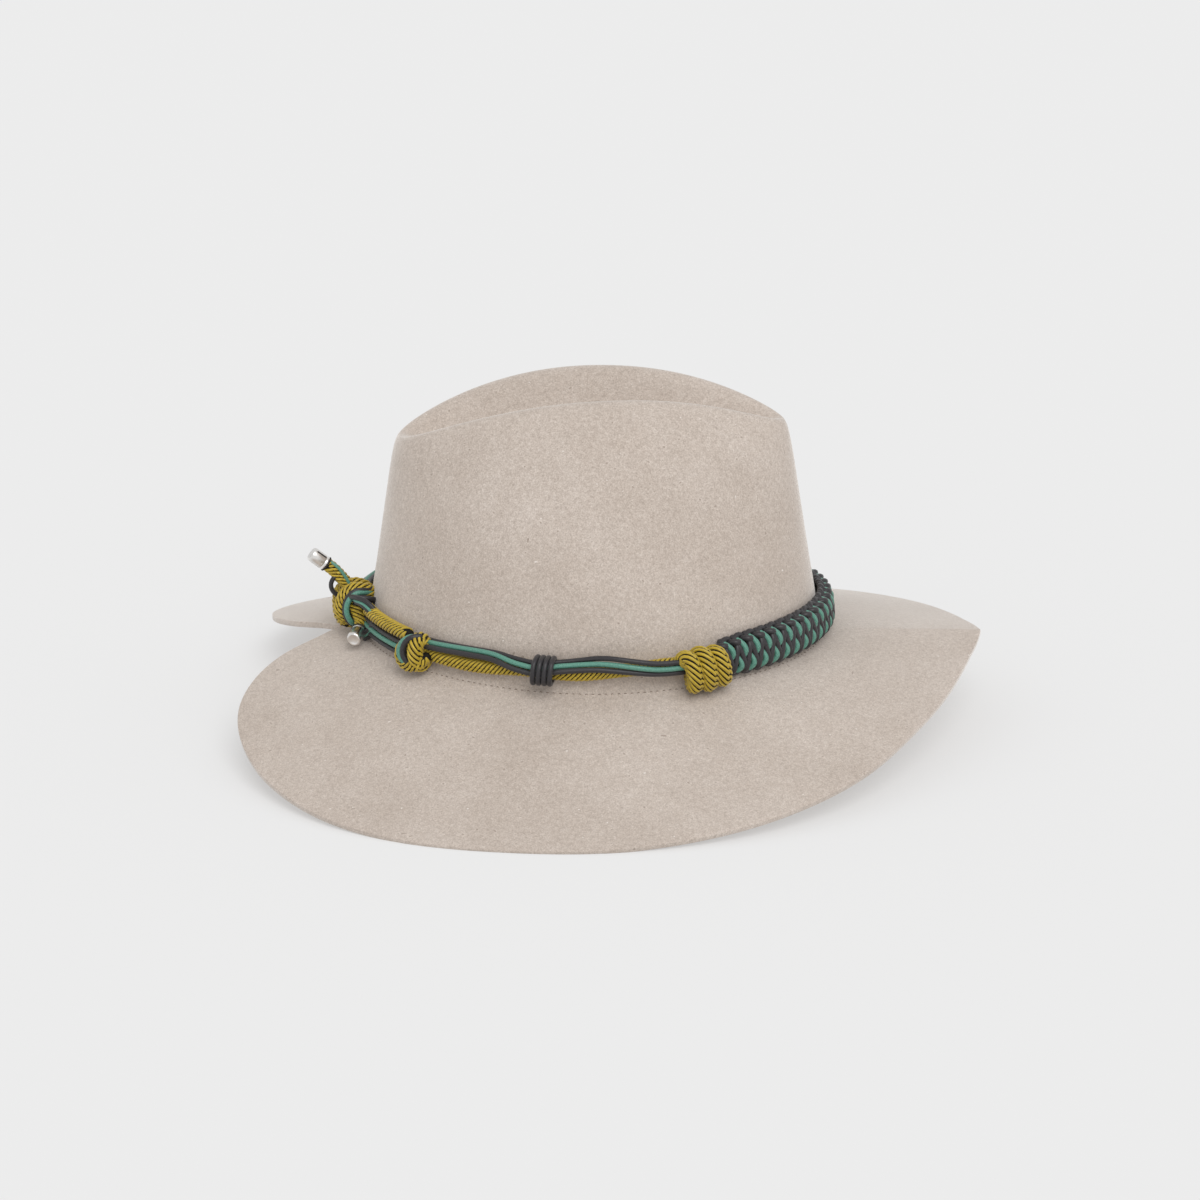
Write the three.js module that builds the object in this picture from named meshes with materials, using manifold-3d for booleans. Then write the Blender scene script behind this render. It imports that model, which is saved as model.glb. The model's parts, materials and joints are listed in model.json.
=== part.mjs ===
// A felt hat with a creased teardrop crown and a heart-shaped brim, dressed with a knotted cord band.
// Millimetres, +Z up. The front of the hat points along +X and the wearer's right side along -Y.
import * as THREE from "three";
import Module from "manifold-3d";
import { mergeVertices } from "three/addons/utils/BufferGeometryUtils.js";

const wasm = await Module();
wasm.setup();

// Felt body
const headLength = 210.4;       // outside of the crown at its base, front to back
const headWidth = 167;          // outside of the crown at its base, side to side
const ovalPower = 1.88;         // 2 is a true ellipse, less is more pointed
const feltThickness = 2.6;
const crownHeight = 118;        // from the base of the crown to the highest point of the ridges
const crownTopFront = 86;       // reach of the crease's front end from the middle
const crownTopBack = 89;        // reach of the crease's back end from the middle
const ridgeGap = 60;            // between the two ridges at mid length
const teardrop = 0.27;          // how much wider the crease is at the back than in the middle
const creaseDepth = 25;         // below the ridges at mid length
const creaseEnds = 0.26;        // share of that depth left at the crease's two ends
const creaseFront = 60;         // reach of the crease's floor to the front
const creaseBack = 68;          // reach of the crease's floor to the back
const peakAt = 0.15;            // where the ridges are highest, as a share of the way to the front
const frontFall = 0.135;        // share of the crown's height lost from there to the front end
const backFall = 0.215;         // and to the back end
const ridgeRound = 2.1;         // 2 is a parabola, more is flatter on top
const breakRadius = 4;          // fillet between crown and brim
const brimWidth = 75;           // crown to edge, at the front
const brimDroopSide = 0.455;    // slope of the brim at the sides
const brimDroopBack = 0.132;    // slope of the brim at the back
const droopPower = 1.11;        // how the side's slope fades towards the front and the back
const brimCurl = 0.19;          // extra slope beside the crown, lost again at the edge
const restFlat = 1.0;           // depth of the flats where the lowest edges rest

// Cord band
const goldDiameter = 6.5;
const thinDiameter = 2.4;
const turnDiameter = 7.4;       // the gold cord where it lies flattened in a knot's turns
const gap = 0.3;                // between pieces that touch
const bandHeight = 9.6;         // middle of the band above the crown's base, at the sides
const bandLift = 2.4;           // how much higher it lies at the front and the back
const braidWidth = 19;
const braidThickness = 7.5;
const braidPitch = 5.9;         // from one loop of the braid's edge to the next
const braidScallop = 0.9;       // depth between two loops of its edge
const wrappedKnotTurn = 55;     // degrees from the front, to either side
const wrappedKnotLength = 24;
const wrappedKnotHeight = 21.5;
const wrappedKnotDepth = 17.5;
const wrappedKnotUp = -1;       // its middle above the band's
const smallKnotTurn = -143.5;
const smallKnotLength = 18;
const smallKnotHeight = 18;
const smallKnotDepth = 14.5;
const smallKnotUp = -1.6;
const bindingTurn = -102.3;
const bindingLength = 9.8;
const bindingTurns = 4;
const bindingDip = 0.45;        // depth of the groove between two turns
const bindingSquareness = 0.75; // 1 is an oval section, less is squarer
const rearKnotTurn = -176.6;
const rearKnotSize = 20;        // height, and length along the band
const rearKnotDepth = 18;
const coreDepth = 0.92;         // size of a knot's core, as shares of the knot's own
const coreHeight = 0.78;
const rearCoreLength = 0.9;
const rearCoreHeight = 0.86;
const tipDiameter = 6.2;
const tipLength = 8.5;
const tipStraight = 0.8;        // share of its length before it narrows
const tipEnd = 0.86;            // its end's diameter, as a share of its own

// Counts
const halfRing = 24;            // felt samples from the front to the back on one side
const ringCrowding = 0.55;      // crowds the samples at the front point and the back notch
const cordSides = 8;
const goldStep = 2;             // diameters between two rings of a cord's surface
const thinStep = 3;
const bindingSides = 10;
const knotSides = 6;            // round a knot's cord
const knotSteps = 10;           // along one turn of it
const coreSides = 8;
const coreRings = 6;
const tipSides = 14;
const pathSpacing = 4;          // degrees between two points of a cord's path
const fineSteps = 200;          // for lengths measured along the band
const groundSize = 1000;        // wider than the hat
const fullTurn = 360;           // degrees

// The brim's edge: degrees from the front, and the width there as a share of brimWidth.
const BRIM_EDGE = [
  { turn: 0, width: 0.992 },
  { turn: 3, width: 0.972 },
  { turn: 8, width: 0.942 },
  { turn: 16, width: 0.936 },
  { turn: 30, width: 0.975 },
  { turn: 45, width: 1.061 },
  { turn: 60, width: 1.109 },
  { turn: 80, width: 1.147 },
  { turn: 100, width: 1.195 },
  { turn: 115, width: 1.25 },
  { turn: 128, width: 1.261 },
  { turn: 140, width: 1.198 },
  { turn: 150, width: 1.085 },
  { turn: 158, width: 0.95 },
  { turn: 165, width: 0.767 },
  { turn: 171, width: 0.553 },
  { turn: 176, width: 0.313 },
  { turn: 180, width: 0.178 },
];

// Sections of the crown's wall: height as a share of the ridge's, and how far the wall has
// leaned in towards the ridge by then, as a share of the whole way, at the ends and at the sides.
const WALL = [
  { up: 0, ends: 0, sides: 0 },
  { up: 0.18, ends: 0.13, sides: 0.05 },
  { up: 0.36, ends: 0.3, sides: 0.145 },
  { up: 0.54, ends: 0.46, sides: 0.285 },
  { up: 0.72, ends: 0.62, sides: 0.48 },
  { up: 0.86, ends: 0.745, sides: 0.675 },
  { up: 0.945, ends: 0.84, sides: 0.83 },
  { up: 0.985, ends: 0.92, sides: 0.925 },
  { up: 1, ends: 1, sides: 1 },
];

// Sections of the crease, from the ridge in to its floor, as shares of the way in and down.
const CREASE = [
  { inward: 0.16, down: 0.06 },
  { inward: 0.42, down: 0.4 },
  { inward: 0.72, down: 0.81 },
  { inward: 1, down: 1 },
];

const BRIM_SHARES = [1, 0.72, 0.42, 0.14];    // felt samples across the brim, edge to crown
const BREAK_SHARES = [0, 0.5, 1];             // and across the fillet

const radians = (degrees) => (degrees * Math.PI) / 180;
const blend = (a, b, share) => a + (b - a) * share;

// Smooth curve through a table's rows: reads one column at a value of another.
function read(table, key, column, at) {
  const last = table.length - 1;
  let row = 0;
  while (row < last - 1 && at > table[row + 1][key]) row += 1;
  const slope = (i) => {
    const a = table[Math.max(i - 1, 0)];
    const b = table[Math.min(i + 1, last)];
    return (b[column] - a[column]) / (b[key] - a[key]);
  };
  const from = table[row];
  const to = table[row + 1];
  const span = to[key] - from[key];
  const t = Math.min(Math.max((at - from[key]) / span, 0), 1);
  const rise = to[column] - from[column];
  const start = slope(row) * span;
  const end = slope(row + 1) * span;
  const bend = 3 * rise - 2 * start - end;
  return from[column] + t * start + t ** 2 * bend + t ** 3 * (start + end - 2 * rise);
}

// Reach of the crown's base from the middle, in the direction of an angle.
function baseReach(angle) {
  const along = Math.abs(Math.cos(angle)) / (headLength / 2);
  const across = Math.abs(Math.sin(angle)) / (headWidth / 2);
  return (along ** ovalPower + across ** ovalPower) ** (-1 / ovalPower);
}

// Width of the brim in the direction of an angle. Both sides are alike.
function brimReach(angle) {
  const turn = Math.abs(THREE.MathUtils.radToDeg(Math.atan2(Math.sin(angle), Math.cos(angle))));
  return brimWidth * read(BRIM_EDGE, "turn", "width", turn);
}

// How far the brim's upper side has dropped at a distance out from the crown.
function brimDrop(angle, out) {
  const side = Math.abs(Math.sin(angle)) ** droopPower;
  const back = Math.max(-Math.cos(angle), 0) * Math.abs(Math.cos(angle));
  const slope = brimDroopSide * side + brimDroopBack * back;
  return slope * out * (1 + brimCurl * (1 - out / brimWidth));
}

// Height of the ridges above the crown's base, highest a little before the middle.
function ridgeHeight(angle) {
  const along = Math.cos(angle);
  const away = along > peakAt ? (along - peakAt) / (1 - peakAt) : (peakAt - along) / (1 + peakAt);
  const fall = along > peakAt ? frontFall : backFall;
  return crownHeight * (1 - fall * away ** ridgeRound);
}

// The ridges in plan, a teardrop that is pointed in front and wide behind.
function ridgePoint(angle) {
  const middle = (crownTopFront - crownTopBack) / 2;
  const half = (crownTopFront + crownTopBack) / 2;
  const spread = (ridgeGap / 2) * (1 - teardrop * Math.cos(angle));
  return [middle + half * Math.cos(angle), spread * Math.sin(angle)];
}

// The crease's floor, a line along the middle of the crown.
function floorPoint(angle) {
  const along = Math.cos(angle);
  const middle = (creaseFront - creaseBack) / 2;
  const half = (creaseFront + creaseBack) / 2;
  const depth = creaseDepth * blend(1, creaseEnds, along * along);
  return [middle + half * along, ridgeHeight(angle) - depth];
}

// A point of the crown's outside wall, at a height as a share of the ridge's height.
function wallPoint(angle, up) {
  const base = [baseReach(angle) * Math.cos(angle), baseReach(angle) * Math.sin(angle)];
  const ridge = ridgePoint(angle);
  const endShare = Math.cos(angle) ** 2;
  const lean = blend(read(WALL, "up", "sides", up), read(WALL, "up", "ends", up), endShare);
  return new THREE.Vector3(
    blend(base[0], ridge[0], lean),
    blend(base[1], ridge[1], lean),
    up * ridgeHeight(angle),
  );
}

// A point of the crown's outside inside the crease, from the ridge (0) to the floor (1).
function creasePoint(angle, inward, down) {
  const ridge = ridgePoint(angle);
  const floor = floorPoint(angle);
  return new THREE.Vector3(
    blend(ridge[0], floor[0], inward),
    blend(ridge[1], 0, inward),
    blend(ridgeHeight(angle), floor[1], down),
  );
}

// A point of the brim's upper side, out from the crown's base.
function brimPoint(angle, out) {
  const reach = baseReach(angle) + out;
  return new THREE.Vector3(reach * Math.cos(angle), reach * Math.sin(angle), -brimDrop(angle, out));
}

// A point of the fillet between brim (0) and crown (1).
function breakPoint(angle, share) {
  const wall = wallPoint(angle, breakRadius / ridgeHeight(angle));
  const corner = brimPoint(angle, 0);
  const brim = brimPoint(angle, breakRadius);
  return brim.multiplyScalar((1 - share) ** 2)
    .addScaledVector(corner, 2 * share * (1 - share))
    .addScaledVector(wall, share ** 2);
}

// One line over the felt's outside, from the brim's edge to the floor of the crease.
function feltLine(angle) {
  const edge = brimReach(angle);
  const line = BRIM_SHARES.map((share) => brimPoint(angle, blend(breakRadius, edge, share)));
  for (const share of BREAK_SHARES) line.push(breakPoint(angle, share));
  for (const row of WALL.slice(1)) line.push(wallPoint(angle, row.up));
  for (const row of CREASE) line.push(creasePoint(angle, row.inward, row.down));
  return line;
}

// Angles of the lines, from the front round the wearer's left side and back by the right.
function ringAngles() {
  const half = [];
  for (let i = 0; i <= halfRing; i += 1) {
    const t = i / halfRing;
    half.push(Math.PI * (t - (ringCrowding * Math.sin(2 * Math.PI * t)) / (2 * Math.PI)));
  }
  const other = half.slice(1, halfRing).reverse().map((angle) => -angle);
  return [...half, ...other];
}

// A closed geometry from points and triangles.
function geometryOf(points, triangles) {
  const geometry = new THREE.BufferGeometry();
  const numbers = points.flatMap((point) => [point.x, point.y, point.z]);
  geometry.setAttribute("position", new THREE.Float32BufferAttribute(numbers, 3));
  geometry.setIndex(triangles);
  return geometry;
}

// The felt body before it is set on its flats, with the crown's base at height 0. The lines of
// both sides meet in the floor of the crease, where a pair shares one point.
function feltShell() {
  const lines = ringAngles().map(feltLine);
  const count = lines.length;
  const floorRow = lines[0].length - 1;
  const outside = [];
  const place = lines.map((line, i) => {
    const twin = (count - i) % count;
    return line.map((point, row) => {
      if (row === floorRow && twin < i) return null;
      outside.push(point);
      return outside.length - 1;
    });
  });
  place.forEach((line, i) => {
    if (line[floorRow] === null) line[floorRow] = place[count - i][floorRow];
  });
  const skin = [];
  for (let i = 0; i < count; i += 1) {
    const next = place[(i + 1) % count];
    for (let row = 0; row < floorRow; row += 1) {
      const corners = [place[i][row], next[row], next[row + 1], place[i][row + 1]];
      skin.push(corners[0], corners[1], corners[2]);
      if (corners[2] !== corners[3]) skin.push(corners[0], corners[2], corners[3]);
    }
  }
  const shell = geometryOf(outside, skin);
  shell.computeVertexNormals();
  const normals = shell.attributes.normal;
  const inside = outside.map((point, i) => {
    const inward = new THREE.Vector3().fromBufferAttribute(normals, i).multiplyScalar(-feltThickness);
    return point.clone().add(inward);
  });
  const shift = outside.length;
  const closed = [...skin];
  for (let f = 0; f < skin.length; f += 3) {
    closed.push(skin[f] + shift, skin[f + 2] + shift, skin[f + 1] + shift);
  }
  for (let i = 0; i < count; i += 1) {
    const a = place[i][0];
    const b = place[(i + 1) % count][0];
    closed.push(a, a + shift, b + shift, a, b + shift, b);
  }
  return geometryOf([...outside, ...inside], closed);
}

// Solids of manifold-3d and back
function solidOf(geometry) {
  const bare = geometry.clone();
  bare.deleteAttribute("normal");
  bare.deleteAttribute("uv");
  const merged = mergeVertices(bare, 1e-4);
  return new wasm.Manifold(new wasm.Mesh({
    numProp: 3,
    vertProperties: new Float32Array(merged.attributes.position.array),
    triVerts: new Uint32Array(merged.index.array),
  }));
}

function geometryFrom(solid) {
  const mesh = solid.getMesh();
  const geometry = new THREE.BufferGeometry();
  geometry.setAttribute("position", new THREE.BufferAttribute(new Float32Array(mesh.vertProperties), 3));
  geometry.setIndex(new THREE.BufferAttribute(new Uint32Array(mesh.triVerts), 1));
  return geometry;
}

// The biggest of the bodies that a cut has left.
function biggest(solid) {
  return solid.decompose().sort((a, b) => b.volume() - a.volume())[0];
}

function joined(geometries) {
  return geometries.map(solidOf).reduce((whole, piece) => whole.add(piece));
}

// Height of the crown's base: the lowest edge sinks by restFlat below the surface, and is cut flat.
const shell = feltShell();
shell.computeBoundingBox();
const baseHeight = -shell.boundingBox.min.z - restFlat;

function feltHat() {
  const ground = new THREE.BoxGeometry(groundSize, groundSize, baseHeight);
  ground.translate(0, 0, -baseHeight / 2);
  shell.translate(0, 0, baseHeight);
  return geometryFrom(solidOf(shell).subtract(solidOf(ground)));
}

// A place beside the crown: degrees from the front, distance out from the wall at the band's
// middle, and height above that middle.
function bandMiddle(angle) {
  return bandHeight + bandLift * Math.cos(angle) ** 2;
}

function outwardAt(angle) {
  const step = 0.01;
  const before = wallPoint(angle - step, bandMiddle(angle) / ridgeHeight(angle));
  const after = wallPoint(angle + step, bandMiddle(angle) / ridgeHeight(angle));
  return new THREE.Vector3(after.y - before.y, before.x - after.x, 0).normalize();
}

function beside(turn, out, up) {
  const angle = radians(turn);
  const height = bandMiddle(angle);
  const point = wallPoint(angle, height / ridgeHeight(angle));
  point.addScaledVector(outwardAt(angle), out);
  point.z = baseHeight + height + up;
  return point;
}

// The same, but out from the felt at the place's own height, so that a piece can lie against it.
function against(turn, out, up) {
  const angle = radians(turn);
  const height = bandMiddle(angle) + up;
  const below = Math.min(Math.max(breakRadius - height, 0), breakRadius);
  const fillet = breakRadius - Math.sqrt(breakRadius ** 2 - below ** 2);
  const point = wallPoint(angle, Math.max(height, breakRadius) / ridgeHeight(angle));
  point.addScaledVector(outwardAt(angle), out + fillet);
  point.z = baseHeight + height;
  return point;
}

// The turn in degrees that a length takes along the band.
function turnOf(length, turn) {
  const step = 0.5;
  const before = beside(turn - step, braidThickness / 2, 0);
  const after = beside(turn + step, braidThickness / 2, 0);
  return (length * 2 * step) / after.distanceTo(before);
}

// Turns from one to another, evenly spaced along the band and nearest to some spacing.
function evenTurns(from, to, spacing) {
  const lengths = [0];
  const place = (i) => beside(blend(from, to, i / fineSteps), braidThickness / 2, 0);
  for (let i = 1; i <= fineSteps; i += 1) lengths.push(lengths[i - 1] + place(i).distanceTo(place(i - 1)));
  const count = 2 * Math.round(lengths[fineSteps] / (2 * spacing));
  const turns = [from];
  for (let k = 1; k < count; k += 1) {
    const length = (lengths[fineSteps] * k) / count;
    const i = lengths.findIndex((other) => other > length);
    const part = (length - lengths[i - 1]) / (lengths[i] - lengths[i - 1]);
    turns.push(blend(from, to, (i - 1 + part) / fineSteps));
  }
  return [...turns, to];
}

// A frame beside the crown: its X runs along the band, its Y points out and its Z up.
function besideFrame(turn, out, up) {
  const outward = outwardAt(radians(turn));
  const along = new THREE.Vector3(outward.y, -outward.x, 0);
  const frame = new THREE.Matrix4().makeBasis(along, outward, new THREE.Vector3(0, 0, 1));
  return frame.setPosition(beside(turn, out, up));
}

function disc(radius) {
  const corners = [];
  for (let i = 0; i < cordSides; i += 1) {
    const angle = (2 * Math.PI * i) / cordSides;
    corners.push(new THREE.Vector2(radius * Math.cos(angle), radius * Math.sin(angle)));
  }
  return new THREE.Shape(corners);
}

// A cord through points, with a step every few diameters.
function cord(points, diameter, stepLength) {
  const path = new THREE.CatmullRomCurve3(points, false, "centripetal");
  const steps = Math.max(2, Math.round(path.getLength() / stepLength));
  return new THREE.ExtrudeGeometry(disc(diameter / 2), { steps, extrudePath: path, bevelEnabled: false });
}

// Points with both ends moved out by some length.
function lengthened(points, extra) {
  const longer = points.map((point) => point.clone());
  const last = longer.length - 1;
  longer[0].addScaledVector(points[0].clone().sub(points[1]).normalize(), extra);
  longer[last].addScaledVector(points[last].clone().sub(points[last - 1]).normalize(), extra);
  return longer;
}

// A solid along the band, from an outline in (out, up) at each of its stations.
function bandSolid(turns, outline) {
  const points = [];
  const triangles = [];
  const rings = turns.map((turn, k) => outline(k).map(([out, up]) => against(turn, out, up)));
  const sides = rings[0].length;
  for (const ring of rings) points.push(...ring);
  for (let k = 0; k < rings.length - 1; k += 1) {
    for (let i = 0; i < sides; i += 1) {
      const a = k * sides + i;
      const b = k * sides + ((i + 1) % sides);
      triangles.push(a, b + sides, b, a, a + sides, b + sides);
    }
  }
  const end = (rings.length - 1) * sides;
  for (let i = 1; i < sides - 1; i += 1) {
    triangles.push(0, i, i + 1);
    triangles.push(end, end + i + 1, end + i);
  }
  return geometryOf(points, triangles);
}

// The gold cord and the three thin ones, as they run together beside the crown. Each row gives
// the gold cord's height as a share of its diameter, how far the lower charcoal cord stands off
// it as a share of touching, and three directions in degrees, where 0 is outward and 90 is up:
// from the gold cord to the lower charcoal one, on to the teal one, and on to the upper charcoal.
const RIGHT_RUN = [
  { along: 0, gold: -0.45, lift: 1.1, lower: 55, teal: 150, upper: 180 },
  { along: 0.18, gold: -0.45, lift: 1.3, lower: 68, teal: 145, upper: 190 },
  { along: 0.28, gold: -0.3, lift: 1.2, lower: 60, teal: 140, upper: 185 },
  { along: 0.38, gold: -0.12, lift: 1.02, lower: 33, teal: 132, upper: 162 },
  { along: 0.46, gold: -0.2, lift: 1.02, lower: 26, teal: 122, upper: 155 },
  { along: 0.53, gold: -0.22, lift: 1.02, lower: 60, teal: 145, upper: 170 },
  { along: 0.6, gold: -0.2, lift: 1.02, lower: 60, teal: 143, upper: 160 },
  { along: 0.67, gold: -0.06, lift: 1.02, lower: 45, teal: 130, upper: 130 },
  { along: 0.75, gold: 0.1, lift: 1.02, lower: 10, teal: 92, upper: 98 },
  { along: 0.82, gold: 0.15, lift: 1.03, lower: -12, teal: 75, upper: 100 },
  { along: 0.9, gold: 0.25, lift: 1.05, lower: -32, teal: 68, upper: 95 },
  { along: 1, gold: 0.2, lift: 1.05, lower: -34, teal: 68, upper: 95 },
];

const LEFT_RUN = [
  { along: 0, gold: 0.2, lift: 1.05, lower: -34, teal: 68, upper: 95 },
  { along: 0.12, gold: 0.2, lift: 1.05, lower: -26, teal: 68, upper: 95 },
  { along: 0.2, gold: 0.1, lift: 1.02, lower: 8, teal: 92, upper: 98 },
  { along: 0.32, gold: -0.1, lift: 1.02, lower: 50, teal: 135, upper: 140 },
  { along: 0.5, gold: -0.2, lift: 1.02, lower: 60, teal: 145, upper: 165 },
  { along: 1, gold: -0.1, lift: 1.02, lower: 55, teal: 140, upper: 165 },
];

const REAR_RUN = [
  { along: 0, gold: 0.5, lift: 1.02, lower: -85, teal: -75, upper: -95 },
  { along: 1, gold: 0.4, lift: 1.02, lower: -80, teal: -80, upper: -95 },
];

// Places of the four cords at a share of a run, as [out, up].
function places(run, along) {
  const column = (name) => read(run, "along", name, along);
  const step = (from, distance, degrees) => [
    from[0] + distance * Math.cos(radians(degrees)),
    from[1] + distance * Math.sin(radians(degrees)),
  ];
  const gold = [goldDiameter / 2 + 2 * gap, column("gold") * goldDiameter];
  const touching = (goldDiameter + thinDiameter) / 2 + gap;
  const lower = step(gold, column("lift") * touching, column("lower"));
  const teal = step(lower, thinDiameter + gap, column("teal"));
  const upper = step(teal, thinDiameter + gap, column("upper"));
  return { gold, lower, teal, upper };
}

// One cord of a run, which reaches into the end turns of the knots at its ends.
function runCord(run, which, from, to, diameter, stepLength) {
  const points = [];
  const count = Math.round(Math.abs(to - from) / pathSpacing);
  for (let i = 0; i <= count; i += 1) {
    const [out, up] = places(run, i / count)[which];
    points.push(beside(blend(from, to, i / count), out, up));
  }
  return solidOf(cord(points, diameter, stepLength));
}

// A turn of gold cord round the band: an oval ring, slanted by some degrees about the outward axis.
function knotTurn(height, depth, along, slant, grow) {
  const wire = turnDiameter / 2;
  const points = [];
  const triangles = [];
  for (let i = 0; i < knotSteps; i += 1) {
    const a = (2 * Math.PI * i) / knotSteps;
    const [outReach, upReach] = [depth / 2 - wire, height / 2 - wire];
    const centre = new THREE.Vector3(0, outReach * Math.cos(a), upReach * Math.sin(a));
    const away = new THREE.Vector3(0, upReach * Math.cos(a), outReach * Math.sin(a)).normalize();
    for (let k = 0; k < knotSides; k += 1) {
      const b = (2 * Math.PI * k) / knotSides;
      const point = centre.clone().addScaledVector(away, (wire + grow) * Math.cos(b));
      point.x = (wire + grow) * Math.sin(b);
      points.push(point);
      const next = ((i + 1) % knotSteps) * knotSides;
      const side = (k + 1) % knotSides;
      triangles.push(i * knotSides + k, next + side, i * knotSides + side);
      triangles.push(i * knotSides + k, next + k, next + side);
    }
  }
  return geometryOf(points, triangles).rotateY(radians(slant)).translate(along, 0, 0);
}

function lump(length, depth, height, grow) {
  const ball = new THREE.SphereGeometry(1, coreSides, coreRings);
  return ball.scale(length / 2 + grow, depth / 2 + grow, height / 2 + grow);
}

// Turns of gold cord in the knots. Each row gives the turn's place along the band as a share of
// the room that the knot's length leaves, its slant and its swing in degrees, about the outward
// and the upright axis, and its height and depth as shares of the knot's own.
const WRAPPED_KNOT_TURNS = [
  { along: -0.5, slant: -14, swing: 0, height: 0.93, depth: 0.93 },
  { along: 0, slant: -14, swing: 0, height: 1, depth: 1 },
  { along: 0.5, slant: -14, swing: 0, height: 0.93, depth: 0.93 },
];
const SMALL_KNOT_TURNS = [
  { along: -0.25, slant: -16, swing: 0, height: 1, depth: 1 },
  { along: 0.25, slant: 20, swing: 0, height: 0.94, depth: 0.96 },
];
const REAR_KNOT_TURNS = [
  { along: -0.148, slant: 0, swing: 52, height: 1, depth: 1 },
  { along: 0.119, slant: 0, swing: -38, height: 0.96, depth: 0.98 },
  { along: 0, slant: 70, swing: 0, height: 0.9, depth: 0.96 },
];

function knotTurns(rows, length, height, depth, side, grow) {
  return rows.map((row) => {
    const along = (length - turnDiameter) * row.along;
    const turn = knotTurn(height * row.height, depth * row.depth, along, row.slant * side, grow);
    return turn.rotateZ(radians(row.swing));
  });
}

// The knot at either end of the braid: three slanted turns over a core.
function wrappedKnot(side, grow) {
  const [length, height, depth] = [wrappedKnotLength, wrappedKnotHeight, wrappedKnotDepth];
  const frame = besideFrame(side * wrappedKnotTurn, depth / 2 + 2 * gap, wrappedKnotUp);
  const core = lump(length, coreDepth * depth, coreHeight * height, grow);
  const turns = knotTurns(WRAPPED_KNOT_TURNS, length, height, depth, side, grow);
  return joined([core, ...turns].map((piece) => piece.applyMatrix4(frame)));
}

// The small overhand knot on the right side: two crossing turns over a core.
function smallKnot(grow) {
  const [length, height, depth] = [smallKnotLength, smallKnotHeight, smallKnotDepth];
  const frame = besideFrame(smallKnotTurn, depth / 2 + 2 * gap, smallKnotUp);
  const core = lump(length, coreDepth * depth, coreHeight * height, grow);
  const turns = knotTurns(SMALL_KNOT_TURNS, length, height, depth, 1, grow);
  return joined([core, ...turns].map((piece) => piece.applyMatrix4(frame)));
}

// The tails and loops at the rear knot, through places given as shares of its size from its
// middle: along the band towards the hat's left, out, and up.
const TAIL_UP = [
  { along: 0, out: 0.02, up: 0.2 },
  { along: 0, out: 0.2, up: 0.46 },
  { along: 0, out: 0.42, up: 0.74 },
  { along: 0, out: 0.66, up: 1.0 },
];
const TAIL_DOWN = [
  { along: -0.2, out: -0.1, up: 0.2 },
  { along: -0.5, out: -0.2, up: 0.1 },
  { along: -0.68, out: -0.24, up: -0.14 },
  { along: -0.76, out: -0.2, up: -0.36 },
  { along: -0.86, out: -0.14, up: -0.38 },
];
const TEAL_TURN = [
  { along: -0.45, out: -0.23, up: 0.39 },
  { along: -0.54, out: -0.04, up: 0.36 },
  { along: -0.62, out: 0.1, up: 0.22 },
  { along: -0.7, out: 0.08, up: -0.08 },
  { along: -0.7, out: 0.07, up: -0.32 },
];
const CHARCOAL_TURN = [
  { along: -0.6, out: -0.18, up: 0.3 },
  { along: -0.84, out: -0.16, up: 0.18 },
  { along: -0.98, out: -0.22, up: -0.02 },
  { along: -1.0, out: -0.27, up: -0.2 },
];
const TAIL_LOOP = [
  { along: -0.12, out: 0.5, up: 0.62 },
  { along: -0.14, out: 0.58, up: 0.42 },
  { along: -0.1, out: 0.5, up: 0.26 },
];
const rearFrame = besideFrame(rearKnotTurn, rearKnotDepth / 2 + 2 * gap, 0);

function rearPath(rows) {
  return rows.map((row) => {
    const shares = new THREE.Vector3(row.along, row.out, row.up);
    return shares.multiplyScalar(rearKnotSize).applyMatrix4(rearFrame);
  });
}

// The big knot at the back, with its two tails of gold cord.
function rearKnot(grow) {
  const [size, depth] = [rearKnotSize, rearKnotDepth];
  const core = lump(rearCoreLength * size, coreDepth * depth, rearCoreHeight * size, grow);
  const turns = knotTurns(REAR_KNOT_TURNS, size, size, depth, 1, grow);
  const tails = [TAIL_UP, TAIL_DOWN].map((rows) => {
    return cord(lengthened(rearPath(rows), grow), goldDiameter + 2 * grow, goldDiameter);
  });
  return joined([...[core, ...turns].map((piece) => piece.applyMatrix4(rearFrame)), ...tails]);
}

// A metal end cap on a tail of cord, a gap past the cord's end.
function tip(rows) {
  const path = rearPath(rows);
  const last = path[path.length - 1];
  const direction = last.clone().sub(path[path.length - 2]).normalize();
  const radius = tipDiameter / 2;
  const end = tipEnd * radius;
  const profile = [[0, 0], [radius, 0], [radius, tipStraight * tipLength], [end, tipLength], [0, tipLength]];
  const cap = new THREE.LatheGeometry(profile.map(([x, y]) => new THREE.Vector2(x, y)), tipSides);
  const turned = new THREE.Quaternion().setFromUnitVectors(new THREE.Vector3(0, 1, 0), direction);
  cap.applyQuaternion(turned);
  const start = last.addScaledVector(direction, gap);
  return cap.translate(start.x, start.y, start.z);
}

// The braid's section, as shares of its thickness and its width.
const BRAID_SECTION = [
  { out: 0, up: -0.3 },
  { out: 0.4, up: -0.5 },
  { out: 1, up: -0.34 },
  { out: 1, up: 0.34 },
  { out: 0.4, up: 0.5 },
  { out: 0, up: 0.3 },
];

// The braid across the front, with a scalloped edge.
function braid() {
  const turns = evenTurns(-wrappedKnotTurn, wrappedKnotTurn, braidPitch / 2);
  const outline = (k) => {
    const width = braidWidth - (k % 2 === 0 ? 2 * braidScallop : 0);
    return BRAID_SECTION.map((row) => [gap + row.out * braidThickness, row.up * width]);
  };
  return solidOf(bandSolid(turns, outline));
}

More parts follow.
